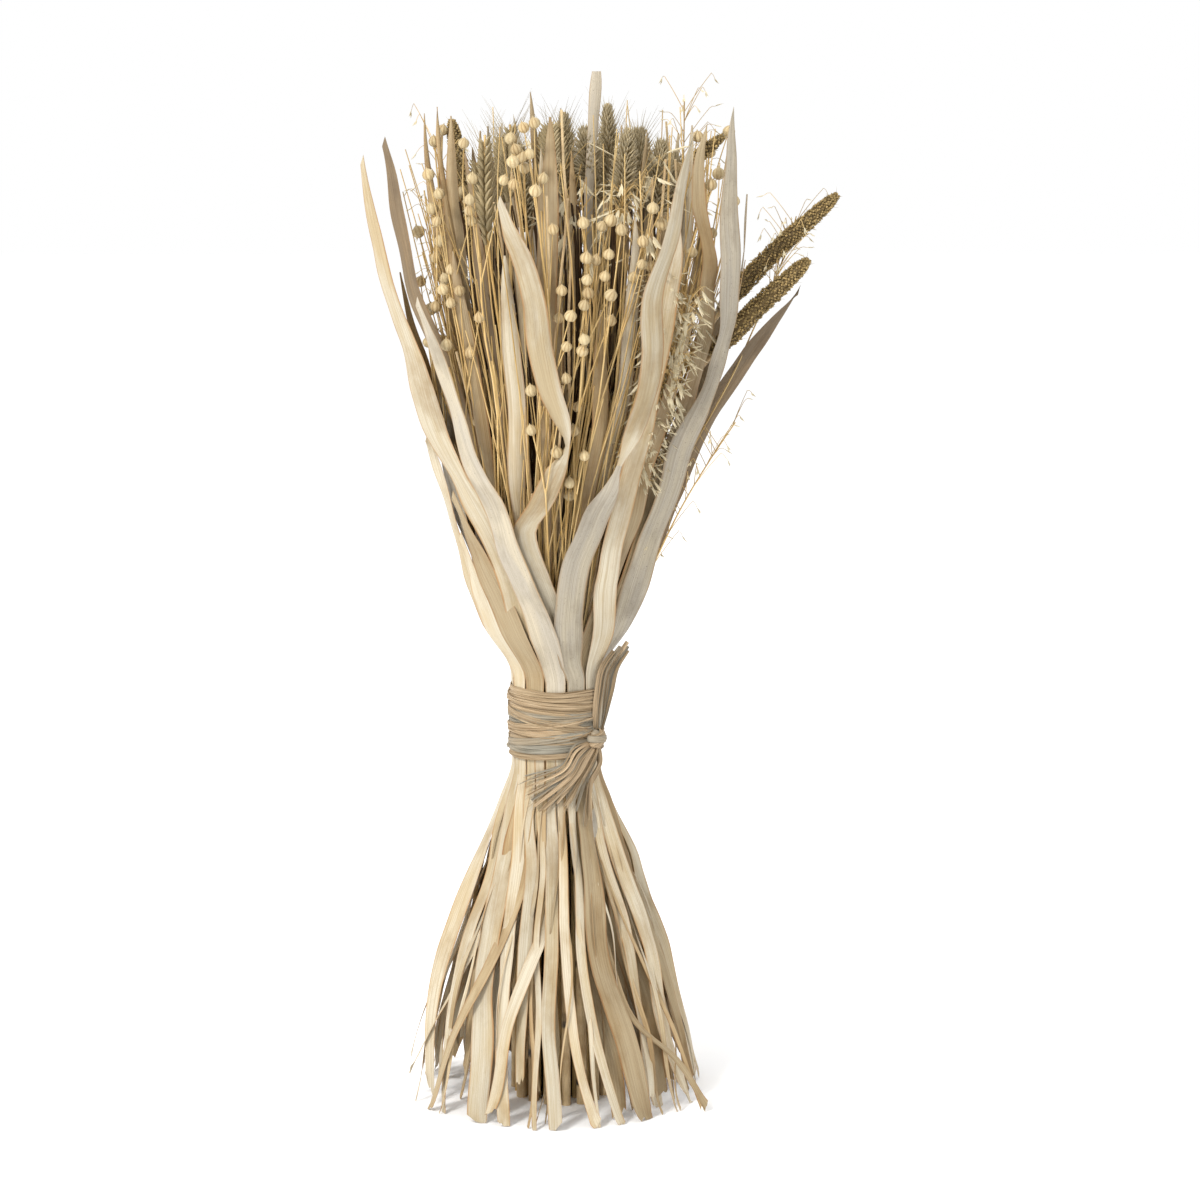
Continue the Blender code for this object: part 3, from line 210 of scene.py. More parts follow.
# The two layers. Leaves at the back have a height and a colour only. Turns say how far the leaves at
# the sides of the front turn their faces to it. Sides are where strips hang from the middle of a leaf,
# in quarters of a lane.
LAYERS = (
    {"name": "leaf_outer_", "seed": 11, "count": 13, "first": -3, "leaves": OUTER_LEAVES, "reach": 1.0,
     "backs": {5: (560, "cream"), 6: (470, "tan"), 7: (596, "grey"), 8: (520, "cream"), 9: (430, "tan")},
     "turns": {-3: 0.55, -2: 0.5, -1: 0.35, 2: 0.4, 3: 0.6, 4: 0.6},
     "blade_reach": 1.0, "strip_reach": 1.0, "tips": (0, 4, 14), "sides": (-1, 1)},
    {"name": "leaf_under_", "seed": 23, "count": 11, "first": -2, "leaves": UNDER_LEAVES,
     "reach": UNDER_REACH,
     "backs": {3: (540, "cream"), 4: (500, "grey"), 5: (575, "cream"), 6: (450, "brown"), 7: (590, "tan"),
               8: (535, "grey")},
     "turns": {-2: 0.5, -1: 0.6, 1: 0.3, 2: 0.5},
     "blade_reach": 0.9, "strip_reach": 0.87, "tips": (3, 8, 20), "sides": (0,)},
)

# Strips that slant over the rest of the skirt: colour, and rows from the tip up
LOOSE_STRIPS = [
    ("cream", [(8, -27, 7, 1.02), (68, -20, 9, 1.05, 15), (96, -14, 8, 1.03, 10), (124, -5, 6, 0.94),
               (170, 1, 5, 0.93)]),
    ("gold", [(3, 62, 2.2, 1.16), (52, 60, 2.6, 1.08, 30), (90, 53, 2.6, 1.03), (150, 45, 2.6)]),
    ("tan", [(4, 61, 2.4, 1.20, 30), (34, 56, 4, 1.08, 50), (56, 42, 4, 1.03), (90, 34, 4, 0.96),
             (150, 30, 4, 0.94)]),
    ("cream", [(18, -76, 5, 1.12), (60, -66, 6, 1.03, 20), (110, -52, 6, 0.98), (160, -44, 5, 0.95)]),
    ("tan", [(0, -58, 6, 1.04), (50, -50, 7, 1.05, 20), (100, -36, 7, 1.04), (150, -24, 6, 0.97)]),
    ("cream", [(0, 160, 8, 1.03), (60, 172, 9, 1.04, 15), (120, 186, 8), (170, 190, 6, 0.96)]),
    ("tan", [(5, 228, 6, 1.05), (60, 214, 8, 1.05, 15), (120, 204, 7), (170, 200, 6, 0.96)]),
    ("cream", [(4, 104, 7, 1.06), (60, 112, 8, 1.05), (120, 122, 7), (170, 126, 6, 0.96)]),
]

# Strands in each ring at the waist, from the first azimuth on
RING_3 = ["leaf_inner_1", "oat_1", "oat_2", "millet_2", "millet_1", "fine_grass_1", "flax_5", "wheat_3",
          "oat_3", "flax_6", "millet_4", "fine_grass_2", "flax_1", "flax_2", "wheat_1", "leaf_inner_2"]
RING_2 = ["flax_3", "bristle_grass_2", "bristle_grass_3", "millet_3", "cane_1", "wheat_4",
          "bristle_grass_4", "cane_2", "leaf_inner_4", "cane_3", "flax_4", "wheat_2"]
RING_1 = ["leaf_inner_3", "bristle_grass_1", "cane_5", "millet_5", "bristle_grass_5", "cane_4"]
STRAND_RINGS = [(6, 11.25, RING_3), (4, 0.0, RING_2), (2, 30.0, RING_1), (0, 0.0, ["cane_6"])]
# Where a strand leaves its place in the spread: height, X and Y
ROUTES = {
    "millet_1": [(480, 95, -3), (500, 110, -7), (528, 137, -9), (557, 169, -9)],
    "millet_2": [(450, 84, -18), (480, 110, -24), (500, 130, -28), (520, 151, -30)],
    "millet_3": [(548, 62, -1), (565, 74, -2), (578, 84, -3), (592, 101, -5)],
    "millet_4": [(520, -52, 44), (560, -58, 50), (600, -64, 55)],
    "wheat_1": [(480, -32, -58), (540, -39, -66), (600, -40, -70)],
    "wheat_2": [(540, -22, -45), (605, -26, -48)],
    "bristle_grass_2": [(520, 36, -45), (602, 44, -52)],
    "bristle_grass_3": [(520, 58, -26), (596, 64, -30)],
    "leaf_inner_1": [(382, 20, -50), (430, 28, -60), (490, 28, -68)],
    "leaf_inner_2": [(440, -5, -60), (500, -4, -73), (606, -2, -79)],
    "leaf_inner_3": [(560, 21, -24), (630, 25, -26)],
}
# Height of each cane, and the heights of its joints
CANES = {
    "cane_1": (470, (62, 148)), "cane_2": (500, (95,)), "cane_3": (455, (40, 128)),
    "cane_4": (430, (78, 166)), "cane_5": (515, (110,)), "cane_6": (480, (55, 140)),
}
# Stalks that reach only to the waist: azimuth, distance from the axis at the foot, heights of joints
MORE_CANE_TOP = 206
MORE_CANES = [
    (-28, 30, (30, 118)), (-8, 33, (62, 150)), (10, 36, (52, 112)), (26, 36, (14, 88, 146)),
    (44, 34, (70, 128)), (64, 32, (38, 150)), (-50, 28, (82,)), (95, 27, (60, 130)), (135, 28, (24, 112)),
    (180, 27, (64, 150)), (220, 27, (40, 126)), (262, 26, (90,)),
]
# Foot, tip and radius of the heads, and the distance between a millet's seeds
MILLETS = {
    "millet_1": (487, 557, 5.0, (50, 138), 1.66), "millet_2": (462, 520, 5.3, (84, 170), 1.66),
    "millet_3": (540, 592, 4.2, (30, 120), 2.0), "millet_4": (515, 598, 5.0, (70, 155), 2.0),
    "millet_5": (505, 592, 4.6, (100, 180), 2.0),
}
WHEATS = {"wheat_1": (530, 600), "wheat_2": (545, 605), "wheat_3": (520, 588), "wheat_4": (538, 602)}
BRISTLES = {
    "bristle_grass_1": (552, 614, 5.2), "bristle_grass_2": (548, 602, 5.6),
    "bristle_grass_3": (540, 594, 6.2), "bristle_grass_4": (545, 606, 5.6),
    "bristle_grass_5": (530, 590, 5.2),
}
# Heads that the photograph shows, or that the back holds too: the strand they stand with, the column
# of pixels, the rows of their tip and foot, and how far in front of or behind the axis they are
MORE_EARS = [
    ("wheat_2", (548, 112, 176), -30), ("wheat_1", (505, 128, 190), -50), ("flax_4", (474, 150, 215), -20),
    ("wheat_3", (560, 110, 180), 50), ("wheat_4", (640, 120, 190), 45), ("cane_3", (500, 125, 195), 42),
]
MORE_BRISTLES = [
    ("bristle_grass_3", (674, 142, 192), -5), ("millet_3", (640, 118, 175), 15),
    ("bristle_grass_1", (585, 116, 170), -20), ("cane_2", (600, 130, 190), 56),
    ("millet_4", (520, 140, 200), 56), ("wheat_4", (680, 150, 205), 40), ("oat_3", (570, 150, 205), 66),
]
MORE_HEADS = (("ears_more", "wheat", MORE_EARS), ("heads_more", "bristle_grass", MORE_BRISTLES))
# Loose heads of small husks: strand, pixel of the tip, depth, lowest height, branches, kind. A head of
# more branches than DENSE_HEAD has a core
FEATHERS = [
    ("oat_2", (692, 285), -62, 378, 290, "feather"), ("millet_2", (668, 268), -74, 382, 270, "feather"),
    ("flax_3", (624, 176), -60, 545, 45, "feather"), ("oat_1", (560, 150), -35, 520, 22, "oat"),
    ("millet_1", (800, 205), -8, 500, 34, "stem"), ("millet_2", (738, 415), -22, 330, 30, "stem"),
    ("fine_grass_1", (686, 88), 10, 555, 34, "stem"), ("flax_1", (436, 190), -22, 440, 40, "stem"),
    ("flax_5", (700, 200), 40, 450, 45, "feather"), ("flax_6", (470, 190), 50, 470, 40, "feather"),
    ("oat_3", (600, 170), 58, 480, 24, "oat"),
]
DENSE_HEAD = 100
# Tips of further narrow leaves and straws in the upper part, placed the same way, with their width
TOP_BLADES = [
    ("flax_3", (529, 78), -25, 7, "tan"), ("flax_2", (434, 93), -35, 6, "gold"),
    ("flax_1", (421, 100), -10, 6, "gold"), ("millet_3", (694, 112), -20, 8, "cream"),
    ("bristle_grass_2", (648, 118), -25, 7, "tan"), ("bristle_grass_3", (680, 120), 5, 7, "cream"),
    ("wheat_2", (503, 140), -55, 8, "cream"), ("flax_3", (571, 138), -40, 7, "tan"),
    ("cane_5", (583, 112), 10, 8, "tan"), ("wheat_1", (462, 140), -45, 8, "brown"),
    ("bristle_grass_1", (622, 112), -10, 7, "gold"), ("cane_3", (478, 118), 15, 7, "tan"),
    ("oat_1", (636, 205), -72, 9, "cream"), ("oat_2", (668, 235), -58, 9, "cream"),
    ("wheat_1", (503, 244), -76, 11, "cream"), ("flax_1", (448, 102), -40, 9, "tan"),
    ("wheat_2", (540, 134), -60, 7, "cream"), ("flax_3", (545, 215), -70, 10, "tan"),
    ("flax_2", (450, 240), -60, 9, "tan"), ("cane_2", (610, 105), 60, 10, "cream"),
    ("millet_4", (500, 110), 58, 9, "grey"), ("flax_5", (650, 130), 62, 9, "tan"),
    ("oat_3", (560, 95), 64, 10, "cream"), ("wheat_3", (600, 120), 70, 8, "tan"),
    ("flax_6", (470, 135), 60, 9, "brown"), ("fine_grass_2", (440, 170), 30, 8, "cream"),
    ("millet_1", (705, 190), 30, 8, "tan"), ("fine_grass_1", (690, 160), 50, 9, "grey"),
    ("cane_1", (665, 125), 25, 7, "gold"),
]
# From this far behind the axis on, they face the back
BACK_DEPTH = 25
FLAXES = ["flax_1", "flax_2", "flax_3", "flax_4", "flax_5", "flax_6"]
# Lowest height, top, branches and kind
PANICLES = {
    "oat_1": (515, 575, 16, "oat"), "oat_2": (395, 500, 34, "oat"), "oat_3": (450, 570, 20, "oat"),
    "fine_grass_1": (350, 560, 40, "stem"), "fine_grass_2": (470, 590, 26, "stem"),
}
# Husks in a spikelet, their length and their width
HUSKS = {"oat": (5, 8.5, 2.2), "feather": (4, 4.6, 1.5), "stem": (2, 4.0, 1.1)}
# Colour, and widths at heights
INNER_LEAVES = {
    "leaf_inner_1": ("tan", [(300, 6), (360, 7), (400, 10), (440, 11), (470, 9), (494, 2)]),
    "leaf_inner_2": ("tan", [(300, 6), (400, 7), (480, 12), (545, 12), (575, 9), (598, 4), (607, 1)]),
    "leaf_inner_3": ("grey", [(300, 6), (400, 6), (540, 6.5), (600, 6.5), (629, 5.8), (631, 5.2)]),
    "leaf_inner_4": ("cream", [(300, 6), (400, 7), (500, 11), (560, 8), (596, 1.5)]),
}
# Flax pods that the photograph shows, in its pixels, and how many more the back holds
FRONT_PODS = [
    (533, 107), (522, 112), (461, 128), (509, 124), (514, 134), (528, 139), (520, 142), (511, 147),
    (523, 154), (425, 162), (470, 165), (436, 181), (467, 186), (502, 166), (512, 170), (429, 197),
    (467, 197), (469, 208), (415, 221), (434, 209), (542, 164), (534, 177), (552, 216), (437, 230),
    (417, 271), (442, 268), (448, 258), (433, 247), (457, 280), (440, 279), (427, 300), (432, 297),
    (448, 292), (477, 307), (427, 331), (561, 279), (529, 317), (538, 304), (558, 307), (570, 305),
    (583, 210), (602, 213), (611, 208), (586, 246), (596, 248), (609, 242), (587, 268), (605, 264),
    (588, 282), (611, 284), (584, 294), (611, 310), (654, 195), (663, 212), (644, 229), (622, 217),
    (643, 252), (652, 255), (634, 266), (713, 172), (737, 189), (714, 221), (721, 161), (694, 241),
    (425, 333), (444, 336), (584, 329), (566, 336), (582, 341), (565, 369), (530, 382), (577, 398),
    (530, 422), (556, 445), (584, 448), (569, 476), (569, 489), (573, 423), (468, 344), (476, 414),
    (485, 434),
]
BACK_PODS = 70
POD_RADIUS = 3.8
# Length of a pod in its radii, and its outline: share of the length, and of the radius there
POD_LENGTH = 1.86
POD_FORM = (
    (-0.02, 0.16), (0.05, 0.5), (0.18, 0.81), (0.36, 0.98), (0.58, 0.98), (0.78, 0.80), (0.93, 0.46),
    (1.02, 0.14), (1.16, 0.03),
)
# How far apart pods on one stem may be
POD_GROUP = 34


# Places

def radial(azimuth):
    """Level unit vector that points away from the axis."""
    turn = np.radians(azimuth)
    return np.stack([np.sin(turn), -np.cos(turn), np.zeros_like(turn)], axis=-1)


def across(azimuth):
    """Level unit vector round the axis, towards growing azimuth."""
    turn = np.radians(azimuth)
    return np.stack([np.cos(turn), np.sin(turn), np.zeros_like(turn)], axis=-1)


def on_axis(height):
    height = np.asarray(height, dtype=float)
    return np.stack([LEAN(height), np.zeros_like(height), height], axis=-1)


def off(azimuth, other=0):
    """Degrees between two azimuths."""
    return abs((azimuth - other + 180) % 360 - 180)


def photo_plane(px, py):
    return (px - PHOTO_ORIGIN[0]) * MM_PER_PIXEL, (PHOTO_ORIGIN[1] - py) * MM_PER_PIXEL


def from_photo(px, py, y):
    """The point at a pixel of the photograph, at a given distance in front of or behind the axis."""
    x, v = photo_plane(px, py)
    z = (v - y * math.sin(VIEW_TILT)) / math.cos(VIEW_TILT)
    nearer = -y * math.cos(VIEW_TILT) + (z - VIEW_TARGET[2]) * math.sin(VIEW_TILT)
    shrink = 1 - nearer / VIEW_DISTANCE
    x = VIEW_TARGET[0] + (x - VIEW_TARGET[0]) * shrink
    z = VIEW_TARGET[2] + (z - VIEW_TARGET[2]) * shrink
    return np.array((x, y, z))


def unit(vectors):
    return vectors / np.maximum(np.linalg.norm(vectors, axis=-1, keepdims=True), 1e-9)


def ripple(places, draw, shortest, longest, waves=3):
    """Smooth seeded waves between -1 and 1."""
    total = np.zeros(np.shape(places))
    for _ in range(waves):
        total = total + np.sin(math.tau * (places / draw.uniform(shortest, longest) + draw.random()))
    return total / waves


def freedom(heights, ease=60.0):
    """How free a leaf is to wave: 0 under the tie, 1 well away from it."""
    away = np.maximum(TIE_BOTTOM - heights, heights - TIE_TOP) - 4
    return np.clip(away / ease, 0, 1)


def hump(places, centre, half, power=2):
    """A smooth hump that is 1 at its centre."""
    return np.exp(-((places - centre) / half) ** power)


def bent(start, end, bow, rows):
    """Points of a smooth bow from start to end."""
    t = np.linspace(0, 1, rows)[:, None]
    return start * (1 - t) ** 2 + (start + end + 2 * bow) * t * (1 - t) + end * t * t


# Shells

def put(name, data):
    """A new object in the scene."""
    thing = bpy.data.objects.new(name, data)
    bpy.context.scene.collection.objects.link(thing)
    return thing


class Piece:
    """Gathers the closed shells of one piece."""

    def __init__(self):
        self.corners, self.faces, self.lies, self.marks, self.surfaces = [], [], [], [], []
        self.total = 0

    def add(self, shell, surface=0):
        corners, faces, lie, mark = shell
        self.corners.append(corners)
        self.lies.append(lie)
        self.marks.append(mark)
        for group in faces:
            self.faces.extend((group + self.total).tolist())
            self.surfaces.extend([surface] * len(group))
        self.total += len(corners)

    def add_tube(self, points, radii, sides, draw, surface=0, **looks):
        self.add(tube(points, radii, sides, draw.random(), **looks), surface)

    def add_taper(self, points, first, last, sides, draw, surface=0):
        self.add_tube(points, np.linspace(first, last, len(points)), sides, draw, surface)

    def add_ribbon(self, line, flat, out, spans, lift, draw, surface=0, thickness=LEAF_SHEET):
        self.add(sheet(ribbon(line, flat, out, spans, lift), thickness, draw.random(), spans), surface)

    def build(self, name, materials, slot, nodes=()):
        data = bpy.data.meshes.new(name)
        data.from_pydata((np.concatenate(self.corners) * MM).tolist(), [], self.faces)
        data.polygons.foreach_set("material_index", self.surfaces)
        lie = data.attributes.new("lie", "FLOAT_VECTOR", "POINT")
        lie.data.foreach_set("vector", np.concatenate(self.lies).astype(np.float32).ravel())
        mark = data.attributes.new("mark", "FLOAT", "POINT")
        mark.data.foreach_set("value", np.concatenate(self.marks).astype(np.float32))
        data.shade_smooth()
        data.set_sharp_from_angle(angle=math.radians(50))
        for material in materials:
            data.materials.append(MATERIALS[material])
        thing = put(name, data)
        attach(thing, "root")
        if nodes:
            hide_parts(*nodes)

    def dress(self, node, materials, slot):
        """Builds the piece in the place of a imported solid."""
        self.build(node + "_dressed", materials, slot, [node])


def build_kinds(title, pieces):
    """Builds one piece for each colour of leaf."""
    for kind, piece in pieces.items():
        piece.build(title + kind, ["leaf_" + kind], "leaf_tan" if kind == "gold" else "leaf_" + kind)


def grid_quads(rows, columns, closed):
    """Faces of a grid of corners, whose last column meets the first where it is closed."""
    steps = np.arange(columns if closed else columns - 1)
    row, column = (part.ravel() for part in np.meshgrid(np.arange(rows - 1), steps, indexing="ij"))
    next_column = (column + 1) % columns
    start, ahead = row * columns, (row + 1) * columns
    return np.stack([start + column, start + next_column, ahead + next_column, ahead + column], axis=1)


def lies(sides, centres, share):
    """What materials read at a grid of corners: millimetres across and along, and a random share."""
    steps = np.linalg.norm(np.diff(centres, axis=0), axis=-1)
    lie = np.zeros((len(centres), sides.shape[1], 3))
    lie[..., 0] = sides
    lie[..., 1] = np.concatenate([[0], np.cumsum(steps)])[:, None]
    lie[..., 2] = share
    return lie


def ribbon(line, flat, out, spans, lift):
    """A grid of points beside a line: its spans to the flat side, and its lift against the other."""
    shift = np.outer(spans / 2, np.linspace(-1, 1, lift.shape[1]))
    return line[:, None] + flat[:, None] * shift[..., None] - out[:, None] * lift[..., None]


def sheet(grid, thickness, share, widths):
    """A closed thin sheet round a grid of points, thinner at its side edges."""
    rows, columns = grid.shape[:2]
    normal = unit(np.cross(np.gradient(grid, axis=1), np.gradient(grid, axis=0)))
    place = np.linspace(-1, 1, columns)
    half = thickness / 2 * (1 - 0.55 * np.abs(place) ** 6)
    offset = normal * half[None, :, None]
    corners = np.concatenate([(grid + offset).reshape(-1, 3), (grid - offset).reshape(-1, 3)])
    quads = grid_quads(rows, columns, False)
    below = rows * columns
    rim = np.concatenate([
        np.arange(columns), np.arange(1, rows) * columns + columns - 1,
        (rows - 1) * columns + np.arange(columns - 2, -1, -1), np.arange(rows - 2, 0, -1) * columns,
    ])
    follow = np.roll(rim, -1)
    edge = np.stack([rim, rim + below, follow + below, follow], axis=1)
    lie = lies(np.outer(widths, place) / 2, grid[:, columns // 2], share).reshape(-1, 3)
    mark = np.tile(np.abs(place), 2 * rows)
    return corners, (quads, quads[:, ::-1] + below, edge), np.concatenate([lie, lie]), mark


def tube(points, radii, sides, share, marks=0.0, swell=1.0):
    """A closed tube along a path. The swell is a share of the radius at each row and side."""
    points = np.asarray(points, dtype=float)
    rows = len(points)
    radii = np.broadcast_to(np.asarray(radii, dtype=float), (rows,))
    along = unit(np.gradient(points, axis=0))
    aside = np.eye(3)[np.argmin(np.abs(along.mean(axis=0)))]
    first = unit(np.cross(aside, along))
    second = np.cross(along, first)
    angle = math.tau * np.arange(sides) / sides
    ring = first[:, None] * np.cos(angle)[None, :, None] + second[:, None] * np.sin(angle)[None, :, None]
    reach = radii[:, None] * swell * np.ones((rows, sides))
    body = points[:, None] + ring * reach[..., None]
    corners = np.concatenate([body.reshape(-1, 3), points[:1], points[-1:]])
    around = np.arange(sides)
    beyond = (around + 1) % sides
    top, foot = (rows - 1) * sides, rows * sides
    low = np.stack([beyond, around, np.full(sides, foot)], axis=1)
    high = np.stack([top + around, top + beyond, np.full(sides, foot + 1)], axis=1)
    turned = np.abs(np.linspace(-1, 1, sides, endpoint=False))[None, :] * math.pi * radii.max()
    lie = lies(turned, points, share)
    mark = (marks if np.ndim(marks) == 2 else np.reshape(marks, (-1, 1))) * np.ones((rows, sides))
    lie = np.concatenate([lie.reshape(-1, 3), lie[0, :1], lie[-1, :1]])
    mark = np.concatenate([mark.ravel(), mark[0, :1], mark[-1, :1]])
    return corners, (grid_quads(rows, sides, True), low, high), lie, mark


def glume(start, direction, side, length, width, depth, share, rows=5, sides=5):
    """A pointed boat-shaped husk."""
    t = np.linspace(0, 1, rows)
    form = np.sin(math.pi * (0.06 + 0.94 * t) ** 0.75)
    form[-1] = 0.03
    flat = np.cross(direction, side)
    points = start + np.outer(t * length, direction)
    points = points + np.outer(np.sin(math.pi * t) * depth * 0.35, flat)
    corners, faces, lie, mark = tube(points, form * width / 2, sides, share, marks=t)
    centre = np.concatenate([np.repeat(points, sides, axis=0), points[:1], points[-1:]])
    squeeze = ((corners - centre) @ flat)[:, None] * flat * (1 - depth / width)
    return corners - squeeze, faces, lie, mark


# Leaves

def leaf_sheet(rows, low, high, draw, columns, curl=0.09, ruffle=0.8, sway=1.0, slant=0.0, turn=0.0,
               widen=(1.3, 2.0), fray=0.0, wring=16, crease=0.035):
    """One sheet of a leaf between two heights of its rows. The turn shows a side leaf's face."""
    curve = Curve([(*row, *(1.0, 0)[len(row) - 3:]) for row in rows])
    heights = np.linspace(low, high, max(8, round((high - low) / LEAF_ROW)))
    azimuth, width, reach, twist = curve(heights).T
    free = freedom(heights)
    place = np.linspace(-1, 1, columns)
    twist = twist + wring * free * ripple(heights, draw, 100, 240, 2) + turn * azimuth * free
    # Wider away from the tie, with uneven edges
    share, extra = widen
    wide = np.minimum(width * share + extra * np.clip(width / 6 - 0.3, 0, 1), MAX_LEAF_WIDTH)
    width = (width + (wide - width) * np.clip(free * 2, 0, 1)) * (1 + 0.03 * ripple(heights, draw, 18, 60))
    # The middle sways
    centre = on_axis(heights) + radial(azimuth) * (OUTLINE(heights) * reach)[:, None]
    centre += across(azimuth) * (sway * free * ripple(heights, draw, 60, 150, 2))[:, None]
    centre += radial(azimuth) * (sway * free * ripple(heights, draw, 50, 140, 2))[:, None]
    # The sides curl, their edges wave, and a crease runs down the middle
    bend = curl * free * (0.6 + 0.8 * ripple(heights, draw, 80, 200, 2))
    lift = np.outer(bend * width, place ** 2)
    for side in (-1, 1):
        wave = ripple(heights, draw, 30, 85) * free * ruffle * np.clip(width / 9, 0.2, 1.4)
        lift = lift + np.outer(wave, np.maximum(place * side, 0) ** 1.6)
    lift = lift + np.outer(crease * width * free, hump(place, 0, 0.14))
    grid = ribbon(centre, across(azimuth - twist), radial(azimuth - twist), width, lift)
    # The free end is cut at a slant and torn
    from_tip = np.abs(heights - (low if low < TEAR_HEIGHT else high))
    grid[..., 2] += np.outer(slant * np.exp(-from_tip / 9), place)
    torn = np.array([draw.uniform(-fray, fray) for _ in range(columns)])
    grid[..., 2] += np.outer(np.exp(-from_tip / 5), torn)
    grid[..., 2] = np.maximum(grid[..., 2], LEAF_SHEET)
    return sheet(grid, LEAF_SHEET, draw.random(), width)


def back_blade(lane, reach, top, draw):
    """A blade for the back of the bundle, which wanders round its own lane."""
    rows = []
    sway = draw.uniform(4, 8) * draw.choice((-1, 1))
    widest = draw.uniform(9, 14)
    heights = np.linspace(300, top, 7)
    for index, height in enumerate(heights):
        share = index / (len(heights) - 1)
        width = max(1.5, widest * math.sin(math.pi * min(0.5, 0.30 + 0.4 * share)) * (1 - share ** 3))
        azimuth = lane + sway * math.sin(3.5 * share)
        rows.append((height, azimuth, width, reach, draw.uniform(-14, 14)))
    return rows


def back_strip(azimuth, reach, tip, draw):
    """A strip of the skirt at the back."""
    bend = draw.uniform(-3, 3)
    return [(tip, azimuth + bend, draw.uniform(5, 8), reach),
            (60, azimuth - bend, draw.uniform(8, 12), reach),
            (110, azimuth + bend / 2, draw.uniform(9, 12), reach),
            (160, azimuth, 9, reach), (185, azimuth, 7.5, reach)]


def build_leaf(node, colours, blade, strips, lane, reach, looks, turn):
    """A leaf: one blade above the tie and its strips below, whose ends lie over each other under it."""
    piece = Piece()
    upper = [(TEAR_HEIGHT, lane, LEAF_WIDTH, reach), (WAIST_TOP, lane, LEAF_WIDTH, reach), *blade]
    tip = blade[-1][0]
    fold = COLOUR_CHANGES.get(node, tip)
    # Both sides of a fold have the same draws, so that they meet
    state = looks.getstate()
    for low, high, surface in ((BLADE_FOOT, fold, 0), (fold, tip, 1)):
        if low == tip:
            break
        looks.setstate(state)
        slant = 3 if high == tip else 0
        piece.add(leaf_sheet(upper, low, high, looks, 11, slant=slant, turn=turn), surface)
    quarter = math.degrees(LEAF_WIDTH / 4 / (OUTLINE(TEAR_HEIGHT) * reach))
    sides = (-quarter, quarter) if len(strips) == 2 else (0,)
    for index, (strip, side) in enumerate(zip(strips, sides)):
        top = (TEAR_HEIGHT, lane + side, LEAF_WIDTH / len(strips), reach)
        slant = looks.uniform(-7, 7)
        share = looks.uniform(0.85, 1.7)
        if node in STRIP_SHARES:
            share = STRIP_SHARES[node][index]
        surface = looks.choice((1, 1, 1, 1, 2) if reach == 1 else (1, 2, 2, 2, 3))
        widen = (share, max(0.0, 2.4 * (share - 0.8)))
        shell = leaf_sheet([*strip, top], strip[0][0], STRIP_HEAD, looks, 7, ruffle=0.5, sway=1.5,
                           slant=slant, fray=2.5, wring=28, curl=0.03, crease=0.02, turn=turn * 0.8,
                           widen=widen)
        piece.add(shell, surface)
    materials = ["leaf_" + colour for colour in (*colours, "tan", "gold")]
    piece.dress(node, materials, materials[0])


def build_leaves(looks):
    for layer in LAYERS:
        draw = random.Random(layer["seed"])
        spacing = 360 / layer["count"]
        for number in range(layer["count"]):
            place = layer["first"] + number
            lane = place * spacing
            if place in layer["leaves"]:
                colour, low_colour, blade, *strips = layer["leaves"][place]
            else:
                top, colour = layer["backs"][place]
                low_colour, strips = "cream", []
                blade = back_blade(lane, layer["blade_reach"], top, draw)
            if not strips:
                strips = [back_strip(lane + side * spacing / 4, layer["strip_reach"],
                                     draw.choice(layer["tips"]), draw) for side in layer["sides"]]
            build_leaf(f"{layer['name']}{number + 1:02d}", (colour, low_colour), blade, strips, lane,
                       layer["reach"], looks, layer["turns"].get(place, 0.0))


def lanes(count, jitter, draw):
    """Numbers and azimuths of leaves at nearly even steps round the bundle."""
    for index in range(count):
        yield index, 360 * (index + draw.uniform(-jitter, jitter)) / count


def build_more_strips(draw):
    """More torn strips of the skirt between the two layers of leaves: none in front, fewer at the sides."""
    kinds = ("cream", "tan", "tan", "grey", "gold", "brown")
    pieces = {kind: Piece() for kind in kinds}
    for index, lane in lanes(MORE_STRIPS, 0.3, draw):
        foot = lane + draw.uniform(-12, 12)
        reach = draw.uniform(0.62, 0.9)
        tip = draw.choice((0, 0, 4, 10, 24, 40))
        width = draw.choice((4, 7, 9, 12, 14))
        rows = [(tip, foot, width * 0.55, reach), (tip + 30, foot, width, reach, draw.uniform(-15, 15)),
                (120, (foot + lane) / 2, width, reach + 0.05, draw.uniform(-20, 20)),
                (175, lane, width * 0.8, 0.97), (TEAR_HEIGHT, lane, 5, HELD_REACH)]
        slant = draw.uniform(-6, 6)
        shell = leaf_sheet(rows, tip, MORE_STRIP_HEAD, draw, 7, curl=0.03, slant=slant, widen=(1.1, 0.5),
                           fray=2, wring=30, crease=0.02)
        kind = draw.choice(kinds)
        if off(lane) > 30 and not (index % 2 and 60 < off(lane) < 125):
            pieces[kind].add(shell)
    build_kinds("skirt_strips_", pieces)


def build_loose_strips(draw):
    """Strips that slant over the others, as the photograph shows them."""
    pieces = {kind: Piece() for kind, _ in LOOSE_STRIPS}
    for kind, rows in LOOSE_STRIPS:
        _, azimuth, width, *_ = rows[-1]
        held = (TEAR_HEIGHT, azimuth, width, HELD_REACH)
        shell = leaf_sheet([*rows, held], rows[0][0], MORE_STRIP_HEAD, draw, 7, curl=0.03, ruffle=0.4,
                           slant=3, widen=(1.1, 0), fray=2, crease=0.02)
        pieces[kind].add(shell)
    build_kinds("skirt_loose_", pieces)


